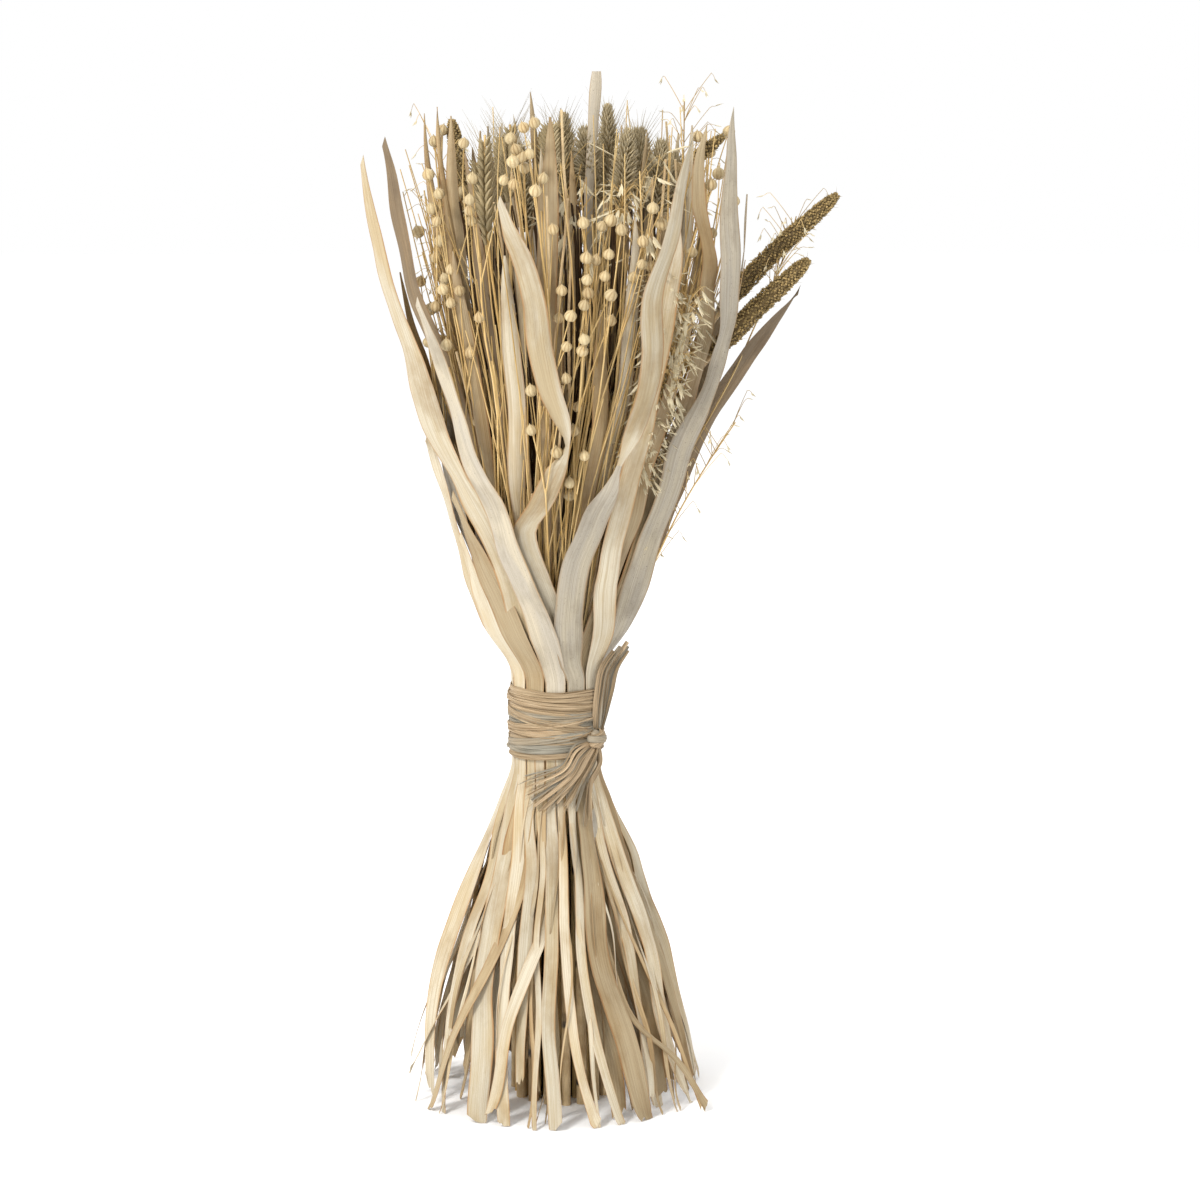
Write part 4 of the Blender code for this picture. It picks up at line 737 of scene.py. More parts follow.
def build_fibres(draw):
    """Thin strips and fibres torn off the leaves, some of which spring outwards."""
    pieces = {kind: Piece() for kind in ("tan", "gold", "cream")}
    for index, lane in lanes(FIBRES, 0.4, draw):
        reach = draw.uniform(0.94, 1.07) if index % 3 else draw.uniform(0.75, 0.9)
        tip = draw.choice((0, 0, 6, 18, 40))
        width = draw.uniform(0.9, 3.2)
        drift = draw.uniform(-9, 9)
        rows = [(tip, lane + drift, width * 0.5, reach), (tip + 40, lane + drift * 0.5, width, reach),
                (140, lane, width), (TEAR_HEIGHT, lane - drift * 0.3, width, 0.99)]
        shell = leaf_sheet(rows, tip, FIBRE_HEAD, draw, 3, ruffle=0.2, sway=2.5, widen=(1, 0), fray=3,
                           wring=60)
        pieces[draw.choice(list(pieces))].add(shell)
    build_kinds("skirt_fibres_", pieces)


def build_more_blades(draw):
    """More blades above the tie, between the two layers of leaves, at the sides and the back."""
    kinds = ("cream", "tan", "tan", "gold", "grey", "brown")
    pieces = {kind: Piece() for kind in kinds}
    for _, lane in lanes(MORE_BLADES, 0.35, draw):
        tip = draw.choice((340, 385, 430, 480, 530)) + draw.uniform(0, 40)
        if off(lane, -2) < 72:
            continue
        width = draw.uniform(7, 14)
        reach = draw.uniform(0.935, 0.97) if off(lane) < 100 else draw.uniform(0.82, 0.97)
        drift = draw.uniform(-9, 9)
        rise = tip - WAIST_TOP
        rows = [(TEAR_HEIGHT, lane, 8, HELD_REACH), (WAIST_TOP, lane, 9, HELD_REACH),
                (WAIST_TOP + rise * 0.3, lane + drift * 0.3, width, reach, draw.uniform(-5, 5)),
                (WAIST_TOP + rise * 0.65, lane + drift, width * 0.85, reach, draw.uniform(-30, 30)),
                (tip, lane + drift * 0.6, 1.2, reach, draw.uniform(-30, 30))]
        kind = draw.choice(kinds)
        pieces[kind].add(leaf_sheet(rows, MORE_BLADE_FOOT, tip, draw, 7))
    build_kinds("blades_between_", pieces)


# Strands

def strand_places():
    """Each strand's ring radius and azimuth at the waist."""
    places = {}
    for pitches, first, names in STRAND_RINGS:
        for index, name in enumerate(names):
            places[name] = (pitches * STRAND_PITCH, first + 360 * index / len(names))
    return places


def spread_line(name, heights):
    radius, azimuth = PLACES[name]
    heights = np.asarray(heights, dtype=float)
    return on_axis(heights) + radial(azimuth) * (radius * SPREAD(heights))[..., None]


def strand_line(name, heights):
    """The strand's centre line, on its own route where it has one."""
    heights = np.asarray(heights, dtype=float)
    line = spread_line(name, heights)
    if name not in ROUTES:
        return line
    route = ROUTES[name]
    leave = route[0][0] - ROUTE_LEAD
    joined = [(height, *spread_line(name, height)[:2]) for height in (leave - 20, leave)]
    for start, rows in ((leave + 1e-9, joined + route), (route[0][0], route)):
        beyond = heights >= start
        line[beyond, :2] = Curve(rows)(heights[beyond])
    return line


def stem_line(name, end, draw, rows=13):
    """A stem from its strand above the tie to an end point, drifting out of the spread."""
    share = np.linspace(0, 1, rows)
    heights = STEM_FOOT + (end[2] - STEM_FOOT) * share
    line = spread_line(name, heights)
    drift = np.outer(share ** 1.3, end - line[-1])
    angle = draw.uniform(0, 360)
    line = line + drift + radial(angle) * ((1 - share) * draw.uniform(0.5, 2.6))[:, None]
    ease = np.sin(math.pi * share)
    line += across(angle) * (2.2 * ease * ripple(heights, draw, 90, 200, 2))[:, None]
    line[-1] = end
    return line


def add_stalk(piece, name, top, rows, draw, radii=((STALK_FOOT, 1.2), (330, 0.95), (600, 0.7)), sides=7):
    """The stem that carries a strand's head. Its line is returned."""
    heights = np.linspace(STALK_FOOT, top, rows)
    line = strand_line(name, heights)
    piece.add_tube(line, Curve(radii)(heights), sides, draw)
    return line


def bunch(name, draw):
    """A piece of thin stems along a strand, each up to its own height, dark brown inside as painted shade."""
    piece = Piece()
    for index in range(BUNCH_STEMS):
        top = draw.uniform(330, 560)
        heights = np.concatenate([np.linspace(0, 262, 7), np.linspace(272, top, max(5, int(top / 36)))])
        angle = 60 * index + draw.uniform(-8, 8)
        fan = 1 + np.clip((heights - FLARE) / 60, 0, None) * draw.uniform(0.3, 1.1)
        offset = 0.0 if index == BUNCH_STEMS - 1 else 2.25
        points = spread_line(name, heights) + radial(angle) * (offset * fan)[:, None]
        points += across(angle) * (1.5 * freedom(heights, 120) * ripple(heights, draw, 90, 220, 2))[:, None]
        points[:, 2] = heights
        radii = Curve([(0, 1.1), (262, 1.05), (330, 0.75), (600, 0.45)])(heights)
        # Stems of the inner rings take the third material, a dark brown that is painted shade
        piece.add_tube(points, radii, 5, draw, 0 if name in RING_3 else 2)
    return piece


def cane_marks(heights, joints):
    """Where a stalk is dark: a band at each joint, and a faint one beside it."""
    mark = np.zeros(len(heights))
    for joint in joints:
        mark = np.maximum(mark, hump(heights, joint, 2.6, 4))
        mark = np.maximum(mark, 0.45 * hump(heights, joint + 5, 3.0))
    return mark


def jointed(radii, heights, joints, dip=0.0):
    """A stalk's radii with a ridge at each joint, and a dip above it."""
    for joint in joints:
        radii = radii + 0.3 * hump(heights, joint, 2.0) - dip * hump(heights, joint + 4, 2.5)
    return radii


def add_cane(piece, name, top, joints, draw, sides=14):
    heights = np.arange(0, top, 2.5)
    radii = Curve([(FLARE, STRAND_RADIUS), (300, 2.7), (350, 2.1), (450, 1.5), (520, 1.1)])(heights)
    radii = jointed(radii, heights, joints, dip=0.15)
    flutes = 1 - 0.05 * (np.arange(sides) % 2)[None, :]
    piece.add_tube(strand_line(name, heights), radii, sides, draw, marks=cane_marks(heights, joints),
                   swell=flutes)


def build_canes(draw):
    for name, (top, joints) in CANES.items():
        piece = Piece()
        add_cane(piece, name, top, joints, draw)
        piece.dress(name, ["cane"], "cane")


def build_more_canes(draw):
    """More cut stalks that stand inside the skirt and run up to the waist."""
    piece = Piece()
    heights = np.arange(0, MORE_CANE_TOP, 3.4)
    for index, (azimuth, reach, joints) in enumerate(MORE_CANES):
        spread = Curve([(0, reach), (60, reach * 0.97), (150, reach * 0.82), (MORE_CANE_TOP, 15)])(heights)
        points = on_axis(heights) + radial(azimuth) * spread[:, None]
        radii = jointed(3.3 - 0.25 * (index % 3), heights, joints)
        piece.add_tube(points, radii, 10, draw, marks=cane_marks(heights, joints))
    piece.build("canes_more", ["cane"], "cane")


def build_millets(draw):
    profile = Curve([(0, 0.5), (0.12, 0.9), (0.45, 1.0), (0.8, 0.86), (0.95, 0.6), (1, 0.3)])
    rows = 26
    for name, (base, tip, radius, joints, pitch) in MILLETS.items():
        piece = Piece()
        add_cane(piece, name, base + 4, joints, draw)
        line = strand_line(name, np.linspace(base, tip, rows))
        piece.add_tube(line, radius * 0.86 * profile(np.linspace(0, 1, rows)), 12, draw, 1)
        add_millet_seeds(piece, line, radius, profile, pitch, draw)
        piece.dress(name, ["cane", "millet_core", "millet"], "millet")


def along_rows(rows, share):
    """A value at a share of the way through rows."""
    spot = share * (len(rows) - 1)
    return np.array([np.interp(spot, np.arange(len(rows)), rows[:, axis]) for axis in range(3)])


def around(axis, turn):
    """Unit vector that points away from an axis, turned round it."""
    first = unit(np.cross(axis, (0.0, 1.0, 0.1)))
    return first * math.cos(turn) + np.cross(axis, first) * math.sin(turn)


def add_millet_seeds(piece, line, radius, profile, pitch, draw):
    """Small seeds in a close spiral round the spike, with a few short bristles."""
    length = np.linalg.norm(np.diff(line, axis=0), axis=-1).sum()
    along = unit(np.gradient(line, axis=0))
    count = int(math.tau * radius * 0.9 * length / pitch ** 2)
    for index in range(count):
        share = (index + 0.5) / count
        axis = unit(along_rows(along, share))
        turn = index * GOLDEN_TURN + draw.uniform(-0.2, 0.2)
        out = around(axis, turn)
        lump = 1 + 0.09 * math.sin(3 * turn + 60 * share) * math.sin(47 * share) + draw.uniform(-0.05, 0.09)
        foot = along_rows(line, share) + out * (radius * profile(share) * lump - 0.75)
        size = draw.uniform(0.45, 0.64) * pitch
        tilt = unit(out + axis * draw.uniform(0.2, 0.7))
        points = foot + np.outer((0, 0.75, 1.65), tilt)
        piece.add_tube(points, np.array((0.45, 0.88, 0.15)) * size, 5, draw, 2)
        if index % 9 == 0:
            hair = foot + np.outer((0, 2.0, draw.uniform(3.0, 5.0)), unit(out + axis))
            piece.add_tube(hair, (0.12, 0.09, 0.03), 3, draw, 2)


def build_wheats(draw):
    for name, (base, tip) in WHEATS.items():
        piece = bunch(name, draw)
        line = add_stalk(piece, name, tip - 4, 40, draw)
        add_wheat_ear(piece, line[line[:, 2] > base - 2], across(PLACES[name][1] + 25), draw)
        piece.dress(name, ["stem", "wheat", "stem_painted_shade"], "wheat")


def build_bristle_grasses(draw):
    for name, (base, tip, radius) in BRISTLES.items():
        piece = bunch(name, draw)
        line = add_stalk(piece, name, tip - 3, 60, draw)
        add_bristly_head(piece, line[line[:, 2] > base], radius, draw)
        piece.dress(name, ["stem", "bristle_grass", "stem_painted_shade"], "bristle_grass")


def heading(line, share):
    """The direction of a line at a share of it."""
    index = min(int(share * (len(line) - 1)), len(line) - 2)
    return unit(line[index + 1] - line[index])


def add_wheat_ear(piece, line, side, draw, awns=1.0):
    """Spikelets in two ranks, three husks each, with awns."""
    for index in range(SPIKELETS):
        share = index / (SPIKELETS - 1)
        here, axis = along_rows(line, share * 0.9), heading(line, share * 0.9)
        rank = 1 if index % 2 else -1
        out = unit(side * rank - axis * (side @ axis) * rank)
        face = np.cross(axis, out)
        size = 1.0 - 0.35 * share ** 3 - (0.25 if index < 2 else 0)
        for fan in (-1, 0, 1):
            direction = unit(axis + out * 0.42 + face * fan * 0.38)
            start = here + out * 0.9 + face * fan * 1.6
            length = 11.5 * size * draw.uniform(0.9, 1.05)
            beside = unit(np.cross(direction, out))
            piece.add(glume(start, direction, beside, length, 4.0 * size, 3.0 * size, draw.random()), 1)
            if fan or draw.random() < 0.6:
                end = start + direction * (length + draw.uniform(6, 22) * awns)
                end = end + out * draw.uniform(0, 4) + UP * 2
                awn = bent(start + direction * length * 0.8, end, out * -0.6, 4)
                piece.add_tube(awn, (0.16, 0.13, 0.09, 0.03), 3, draw, 1)


def add_bristly_head(piece, line, radius, draw, count=BRISTLY_HUSKS):
    """Husks and bristles that point out and up all round a line."""
    profile = Curve([(0, 0.5), (0.15, 0.9), (0.45, 1.0), (0.8, 0.8), (1, 0.5)])
    for index in range(count):
        share = (index + draw.random()) / count
        here, axis = along_rows(line, share * 0.94), heading(line, share * 0.94)
        out = around(axis, index * GOLDEN_TURN)
        direction = unit(out * (1 - 0.5 * share ** 2) + axis * (draw.uniform(0.35, 0.8) + 0.7 * share ** 3))
        start = here + out * 0.7
        length = radius * float(profile(share)) * draw.uniform(1.45, 1.95)
        side = unit(np.cross(direction, axis))
        piece.add(glume(start, direction, side, length, 2.1, 1.3, draw.random(), 4, 3), 1)
        if index % 3 == 0:
            end = start + direction * length * 1.2 + axis * draw.uniform(1.0, 4.0) + out
            bristle = bent(start + direction * length * 0.7, end, out * 0.3, 4)
            piece.add_tube(bristle, (0.14, 0.11, 0.08, 0.03), 3, draw, 1)


def build_more_heads(draw):
    """More ears and bristly heads among the named ones, on stems of their own."""
    for title, kind, heads in MORE_HEADS:
        piece = Piece()
        for name, (px, top, bottom), depth in heads:
            tip = from_photo(px, top, depth)
            line = stem_line(name, tip, draw, 60)
            piece.add_taper(line, 0.9, 0.6, 5, draw)
            part = line[line[:, 2] > tip[2] - (bottom - top) * MM_PER_PIXEL]
            if kind == "wheat":
                add_wheat_ear(piece, part, across(draw.uniform(-40, 40)), draw, 0.8)
            else:
                add_bristly_head(piece, part, 6.2, draw, MORE_HUSKS)
        piece.build(title, ["stem", kind], kind)


def build_inner_leaves(draw):
    place = np.linspace(-1, 1, 9)
    for name, (colour, widths) in INNER_LEAVES.items():
        piece = bunch(name, draw)
        top = widths[-1][0]
        heights = np.linspace(STALK_FOOT, top, int((top - STALK_FOOT) / LEAF_ROW))
        spans = Curve([(STALK_FOOT, 5.0), (FLARE, 5.0), *widths])(heights)
        azimuth = PLACES[name][1] + 25 * np.sin(heights / 60) * np.clip((heights - 300) / 100, 0, 1)
        fold = Curve([(STALK_FOOT, 0.9), (290, 0.5), (360, 0.16)])(heights)
        lift = np.outer(fold * spans, np.abs(place) ** 1.4)
        for side in (-1, 1):
            wave = 0.7 * ripple(heights, draw, 40, 90) * freedom(heights, 120)
            lift = lift + np.outer(wave, np.maximum(place * side, 0) ** 1.6)
        line = strand_line(name, heights)
        piece.add_ribbon(line, across(azimuth), radial(azimuth), spans, lift, draw, 1)
        piece.dress(name, ["stem", "leaf_" + colour, "stem_painted_shade"], "leaf_" + colour)


def build_top_blades(draw):
    """Narrow leaves that stand between the heads and face the front, or the back behind the axis."""
    pieces = {kind: Piece() for kind in ("cream", "tan", "gold", "grey", "brown")}
    rows = 50
    form = Curve([(0, 0.35), (0.3, 0.6), (0.6, 1.0), (0.85, 0.9), (0.97, 0.35), (1, 0.05)])(
        np.linspace(0, 1, rows))
    place = np.linspace(-1, 1, 7)
    for name, (px, py), depth, width, kind in TOP_BLADES:
        line = stem_line(name, from_photo(px, py, depth), draw, rows)
        heights = line[:, 2]
        spans = width * form
        azimuth = draw.uniform(-35, 35) + 40 * ripple(heights, draw, 150, 320, 2)
        if depth > BACK_DEPTH:
            azimuth = azimuth + 180
        lift = np.outer(0.2 * spans, np.abs(place) ** 1.5)
        lift = lift + np.outer(0.8 * ripple(heights, draw, 30, 80), place * np.abs(place))
        pieces[kind].add_ribbon(line, across(azimuth), radial(azimuth), spans, lift, draw)
    build_kinds("blades_top_", pieces)


# Flax

def add_pod(piece, base, direction, draw, sides=16):
    """A round seed pod with ribs and a short point."""
    along, form = np.array(POD_FORM).T[..., None]
    radius = POD_RADIUS * draw.uniform(0.86, 1.04)
    points = base + along * POD_LENGTH * radius * direction
    groove = (np.arange(sides) % 2)[None, :]
    deep = 1 - 0.075 * groove * np.clip(form * 1.3, 0, 1)
    # The grooves between the ribs take the pod's darker marked colour as painted shade; the base takes it too
    marks = np.clip(0.95 * groove + 1.2 * (along < 0.05), 0, 1)
    piece.add_tube(points, form[:, 0] * radius, sides, draw, 1, marks=marks, swell=deep)


def pod_places(draw):
    """Base of every pod: those that the photograph shows, and more round the back."""
    places = []
    for px, py in FRONT_PODS:
        x, z = photo_plane(px, py)
        reach = OUTLINE(z) * draw.uniform(0.76, 0.93)
        beside = x - LEAN(z)
        y = -math.sqrt(max(reach ** 2 - beside ** 2, (0.25 * reach) ** 2))
        places.append(from_photo(px, py, y))
    for _ in range(BACK_PODS):
        z = draw.uniform(400, 600)
        azimuth = draw.uniform(75, 285)
        places.append(on_axis(z) + radial(azimuth) * OUTLINE(z) * draw.uniform(0.5, 0.88))
    return places


def grouped(places, reach):
    """Pods in groups of up to three near neighbours."""
    waiting = list(places)
    groups = []
    while waiting:
        first = waiting.pop(0)
        waiting.sort(key=lambda place: float(np.linalg.norm(place - first)))
        group = [first]
        while waiting and len(group) < 3 and np.linalg.norm(waiting[0] - first) < reach:
            group.append(waiting.pop(0))
        groups.append(group)
    return groups


def build_flax(draw):
    share_of = {name: [] for name in FLAXES}
    for group in grouped(pod_places(draw), POD_GROUP):
        middle = np.mean(group, axis=0) - on_axis(group[0][2])
        azimuth = math.degrees(math.atan2(middle[0], -middle[1]))
        cost = {name: off(azimuth, PLACES[name][1]) + 9 * len(share_of[name]) for name in FLAXES}
        share_of[min(cost, key=cost.get)].append(group)
    for name in FLAXES:
        piece = bunch(name, draw)
        for group in share_of[name]:
            add_pod_group(piece, name, group, draw)
        for _ in range(BARREN_STEMS):
            add_barren_stem(piece, name, draw)
        piece.dress(name, ["stem", "pod", "stem_painted_shade"], "flax")


def add_pod_group(piece, name, group, draw):
    """One stem that forks into a stalk for each pod."""
    fork = np.mean(group, axis=0)
    fork[2] = min(place[2] for place in group) - draw.uniform(22, 40)
    fork[:2] += (spread_line(name, fork[2])[:2] - fork[:2]) * 0.12
    line = stem_line(name, fork, draw)
    piece.add_taper(line, 0.75, 0.45, 5, draw)
    for place in group:
        rise = draw.uniform(0.3, 0.7)
        root = line[-2] + (line[-1] - line[-2]) * rise if len(group) > 1 else line[-1]
        stalk = bent(root, place, UP * draw.uniform(-3, 6), 7)
        piece.add_taper(stalk, 0.42, 0.30, 4, draw)
        nod = np.array((draw.uniform(-0.4, 0.4), draw.uniform(-0.5, 0.2), 0))
        direction = unit(unit(stalk[-1] - stalk[-2]) + UP * 0.4 + nod)
        add_pod(piece, place - direction * 0.9 * POD_RADIUS, direction, draw)


def add_barren_stem(piece, name, draw):
    """A thin stem that forks near its end, its pods fallen."""
    top = draw.uniform(390, 590)
    azimuth = draw.uniform(0, 360)
    end = on_axis(top) + radial(azimuth) * OUTLINE(top) * math.sqrt(draw.random()) * 0.86
    line = stem_line(name, end, draw)
    piece.add_taper(line, 0.62, 0.30, 4, draw)
    for _ in range(draw.randint(1, 3)):
        root = line[draw.randint(len(line) - 6, len(line) - 3)]
        tip = root + radial(draw.uniform(0, 360)) * draw.uniform(4, 13) + UP * draw.uniform(18, 42)
        piece.add_taper(bent(root, tip, UP * -2, 6), 0.36, 0.2, 3, draw)


# Loose panicles

def build_panicles(draw):
    for name, (lowest, top, branches, kind) in PANICLES.items():
        piece = bunch(name, draw)
        add_stalk(piece, name, top, 50, draw, radii=((STALK_FOOT, 1.1), (400, 0.8), (600, 0.4)), sides=6)
        for index in range(branches):
            height = lowest + (top - lowest) * (index + draw.random()) / branches
            add_panicle_branch(piece, strand_line(name, [height])[0], kind, draw)
        piece.dress(name, ["stem", "oat", "stem_painted_shade"], kind)


def build_feathers(draw):
    """Loose heads on stems of their own. The dense ones have a core under their husks."""
    pieces = {kind: Piece() for kind in HUSKS}
    for name, (px, py), depth, low, count, kind in FEATHERS:
        piece = pieces[kind]
        tip = from_photo(px, py, depth)
        line = stem_line(name, tip, draw, 60)
        piece.add_taper(line, 0.8, 0.35, 4, draw)
        if count > DENSE_HEAD:
            core = line[line[:, 2] > low - 6]
            share = np.linspace(0, 1, len(core))
            swell = 1 + 0.25 * np.array([[draw.uniform(-1, 1) for _ in range(9)] for _ in core])
            radii = 2.6 * np.sin(math.pi * (0.08 + 0.9 * share)) ** 0.5
            piece.add_tube(core, radii, 9, draw, 1, swell=swell)
        for _ in range(count):
            index = int(np.searchsorted(line[:, 2], draw.uniform(low, tip[2]))) - 1
            add_panicle_branch(piece, line[index], kind, draw)
    for kind, piece in pieces.items():
        piece.build("loose_heads_" + kind, ["stem", "oat"], "stem" if kind == "stem" else "oat")


def add_panicle_branch(piece, root, kind, draw):
    """A thin branch that rises and droops, with a spikelet of pointed husks at its end."""
    small = kind == "feather"
    out = radial(draw.uniform(0, 360))
    length = draw.uniform(4, 13) if small else draw.uniform(10, 26)
    elbow = root + out * length * 0.75 + UP * length * 0.9
    neck = elbow + out * draw.uniform(2, 5) + UP * draw.uniform(-5, 2)
    branch = np.vstack([bent(root, elbow, UP * 1.5, 3 if small else 5), bent(elbow, neck, UP * 1.0, 3)[1:]])
    piece.add_taper(branch, 0.28, 0.16, 3, draw)
    direction = unit(neck - elbow + UP * draw.uniform(-4, 1))
    husks, size, width = HUSKS[kind]
    size = size * draw.uniform(0.8, 1.2)
    side = unit(np.cross(direction, out + UP * 0.3))
    rows, sides = (4, 3) if small else (5, 4)
    for index in range(husks):
        start = neck + direction * index * size * 0.22
        tilt = unit(direction + side * (1 if index % 2 else -1) * 0.22)
        piece.add(glume(start, tilt, side, size, width, width * 0.5, draw.random(), rows, sides), 1)
        if kind == "oat":
            awn = bent(start + tilt * size * 0.8, start + tilt * size * draw.uniform(1.3, 1.9), out * 0.2, 4)
            piece.add_tube(awn, (0.14, 0.10, 0.07, 0.03), 3, draw, 1)


def build_straws(draw):
    """Loose straws and thin stems that fill the bundle between its heads, dark brown inside as painted shade.
    """
    names = sorted(PLACES)
    thin, thick, inner = Piece(), Piece(), Piece()
    for index in range(STRAWS):
        name = names[index % len(names)]
        top = draw.uniform(380, 612)
        azimuth = PLACES[name][1] + draw.uniform(-40, 40)
        depth = math.sqrt(draw.random())
        if depth < INNER_SHARE:
            top = min(top, INNER_TOP)
        line = stem_line(name, on_axis(top) + radial(azimuth) * OUTLINE(top) * depth * 0.88, draw)
        if index % 8 == 0:
            thick.add_taper(line, 1.2, 0.8, 6, draw)
        elif depth < INNER_SHARE:
            inner.add_taper(line, 1.0, 0.5, 4, draw)
        else:
            thin.add_taper(line, 0.6, 0.3, 4, draw)
    thin.build("straws_thin", ["stem"], "stem")
    thick.build("straws_thick", ["cane"], "cane")
    # The inner straws take the dark brown of painted shade
    inner.build("straws_inner", ["stem_painted_shade"], "stem")


# Raffia tie

KNOT_AZIMUTH = 58.0
KNOT_HEIGHT = 227.0
TIE_RADIUS = 28.2
GREY_WRAPS = (1, 4, 5)
# Loops of the knot: radius, lean in degrees, width, surface
KNOT_LOOPS = (
    (6.6, 10, 8.6, 0), (5.6, -32, 7.4, 1), (6.4, 58, 6.0, 0), (8.0, -6, 4.2, 1), (7.2, 26, 3.0, 0),
)
# Bands that cross the wraps: heights at their left and right ends, and width
CROSSINGS = ((220, 233, 4.5), (246, 232, 5), (231, 240, 4), (252, 247, 4))
# The tail that stands up: azimuth, height, how far proud, its strands' distance from each other, how
# much further out every second strand is, and how much lower the strands at its sides end
RISING_TAIL = (
    (KNOT_AZIMUTH, 228, 1.4, 0.3, 0, 0), (57, 241, 3.4, 0.7, 1, 0), (60, 256, 5.2, 1.0, 0, 0),
    (64, 270, 7.2, 1.1, 0, 0), (68, 287, 8.6, 1.1, 0, 1.5),
)
TAIL_WIDTHS = (2.0, 3.4, 3.8, 3.6, 2.6)
# Ends of the tassel's strands: azimuth, height and width
TASSEL = (
    (-37, 205, 1.0), (-40, 201, 0.8), (-34, 198, 1.6), (-30, 194, 2.2), (-26, 191, 2.6), (-21, 188, 2.8),
    (-16, 185, 2.4), (-11, 187, 2.8), (-5, 189, 2.4), (1, 190, 2.6), (8, 188, 3.0), (14, 190, 2.2),
    (20, 185, 2.8), (27, 176, 5.2), (33, 181, 2.8),
)


def raffia_band(piece, azimuths, heights, radii, widths, draw, tilt=0.0, surface=0):
    """A wrinkled flat strand laid round the bundle through points at given azimuths."""
    place = np.linspace(-1, 1, 11)[None, :]
    turn = azimuths[:, None] / 360
    folds = np.zeros((len(azimuths), 11))
    for _ in range(5):
        count, drift = draw.uniform(0.6, 3.0), draw.choice((-4, -2, -1, 1, 2, 4))
        folds += 0.19 * np.sin(math.tau * (count * place + drift * turn + draw.random()))
    reach = radii[:, None] + folds - tilt * place
    level = heights[:, None] + (widths / 2)[:, None] * place
    grid = radial(azimuths)[:, None] * reach[..., None] + UP * level[..., None]
    piece.add(sheet(grid, 0.45, draw.random(), widths), surface)


def build_tie(draw):
    piece = Piece()
    rows = 94
    for index in range(WRAPS):
        share = index / (WRAPS - 1)
        start = KNOT_AZIMUTH - 180 + draw.uniform(-30, 30)
        azimuths = np.linspace(start, start + 372, rows)
        slope = (0.5 - share) * 3.0 + draw.uniform(-0.8, 0.8)
        heights = TIE_BOTTOM + 3.5 + (TIE_TOP - TIE_BOTTOM - 7) * share
        heights = heights + slope * np.sin(np.radians(azimuths)) + 0.7 * ripple(azimuths, draw, 90, 200)
        widths = draw.uniform(5.2, 6.6) * (1 + 0.14 * ripple(azimuths, draw, 60, 160))
        radii = TIE_RADIUS + 0.6 * (index % 2) + np.linspace(0, 0.5, rows)
        raffia_band(piece, azimuths, heights, radii, widths, draw, tilt=0.5, surface=index in GREY_WRAPS)
    share = np.linspace(0, 1, 56)
    for index, (low, high, width) in enumerate(CROSSINGS):
        heights = low + (high - low) * share ** 1.3
        widths = width * np.clip(np.sin(math.pi * (0.04 + 0.96 * share)) * 2.5, 0.15, 1)
        radii = TIE_RADIUS + 1.15 - 0.5 * (1 - share) ** 8
        raffia_band(piece, np.linspace(-140, 52, 56), heights, radii, widths, draw, surface=index == 0)
    add_knot(piece, draw)
    add_tails(piece, draw)
    piece.dress("raffia_tie", ["raffia", "raffia_grey"], "raffia")


def at_tie(azimuth, height, proud):
    """A point that stands proud of the leaves and the tie."""
    reach = max(float(OUTLINE(height)), TIE_RADIUS + 0.8) + proud
    return on_axis(height) + radial(azimuth) * reach


def add_knot(piece, draw):
    face = radial(KNOT_AZIMUTH)
    centre = at_tie(KNOT_AZIMUTH - 4, KNOT_HEIGHT, 2.0)
    turn = np.radians(np.linspace(0, 366, 30))
    place = np.linspace(-1, 1, 7)
    for size, tip, width, surface in KNOT_LOOPS:
        lean = math.radians(tip)
        level = across(KNOT_AZIMUTH) * math.cos(lean) + UP * math.sin(lean)
        loop = centre + np.outer(np.cos(turn), level) * size + np.outer(np.sin(turn), face) * size * 0.62
        upward = np.tile(np.cross(level, face), (30, 1))
        folds = 0.25 * np.sin(math.tau * (1.3 * place[None, :] + turn[:, None] / math.tau))
        lift = 0.10 * width * place ** 2 - folds
        piece.add_ribbon(loop, upward, unit(loop - centre), np.full(30, width), lift, draw, surface, 0.4)


def add_tails(piece, draw):
    """The tail that stands up beside the wraps, and the frayed tassel under the knot."""
    for index in range(TAIL_STRANDS):
        shift = (index - TAIL_STRANDS // 2) * 2.0
        path = [at_tie(azimuth, height - lower * abs(shift), proud + further * (index % 2))
                + across(20) * shift * apart
                for azimuth, height, proud, apart, further, lower in RISING_TAIL]
        flat_strand(piece, path, TAIL_WIDTHS, radial(22 + shift * 12), draw, index % 2, 0.4)
    for index, (azimuth, height, width) in enumerate(TASSEL):
        middle = (KNOT_AZIMUTH + azimuth) / 2
        drop = (KNOT_HEIGHT + height) / 2 + 3
        layer = 0.7 * (index * 5 % 4)
        path = [at_tie(KNOT_AZIMUTH - 1, KNOT_HEIGHT - 1, 1.4),
                at_tie(middle + 12, drop + 6, 1.6 + layer), at_tie(middle - 4, drop - 6, 1.8 + layer),
                at_tie(azimuth, height, 1.2 + layer + draw.uniform(0, 2.0))]
        turn = radial(middle + draw.uniform(-35, 35))
        widths = (1.6, width, width * 1.1, width, width * 0.6)
        flat_strand(piece, path, widths, turn, draw, index % 4 == 0, 0.3)
        for _ in range(2):
            tip = at_tie(azimuth + draw.uniform(-4, 2), height - draw.uniform(0, 5),
                         layer + draw.uniform(1, 4))
            hair = bent(path[2], tip, UP * draw.uniform(-1, 1), 8)
            piece.add_taper(hair, 0.3, 0.12, 3, draw, index % 2)


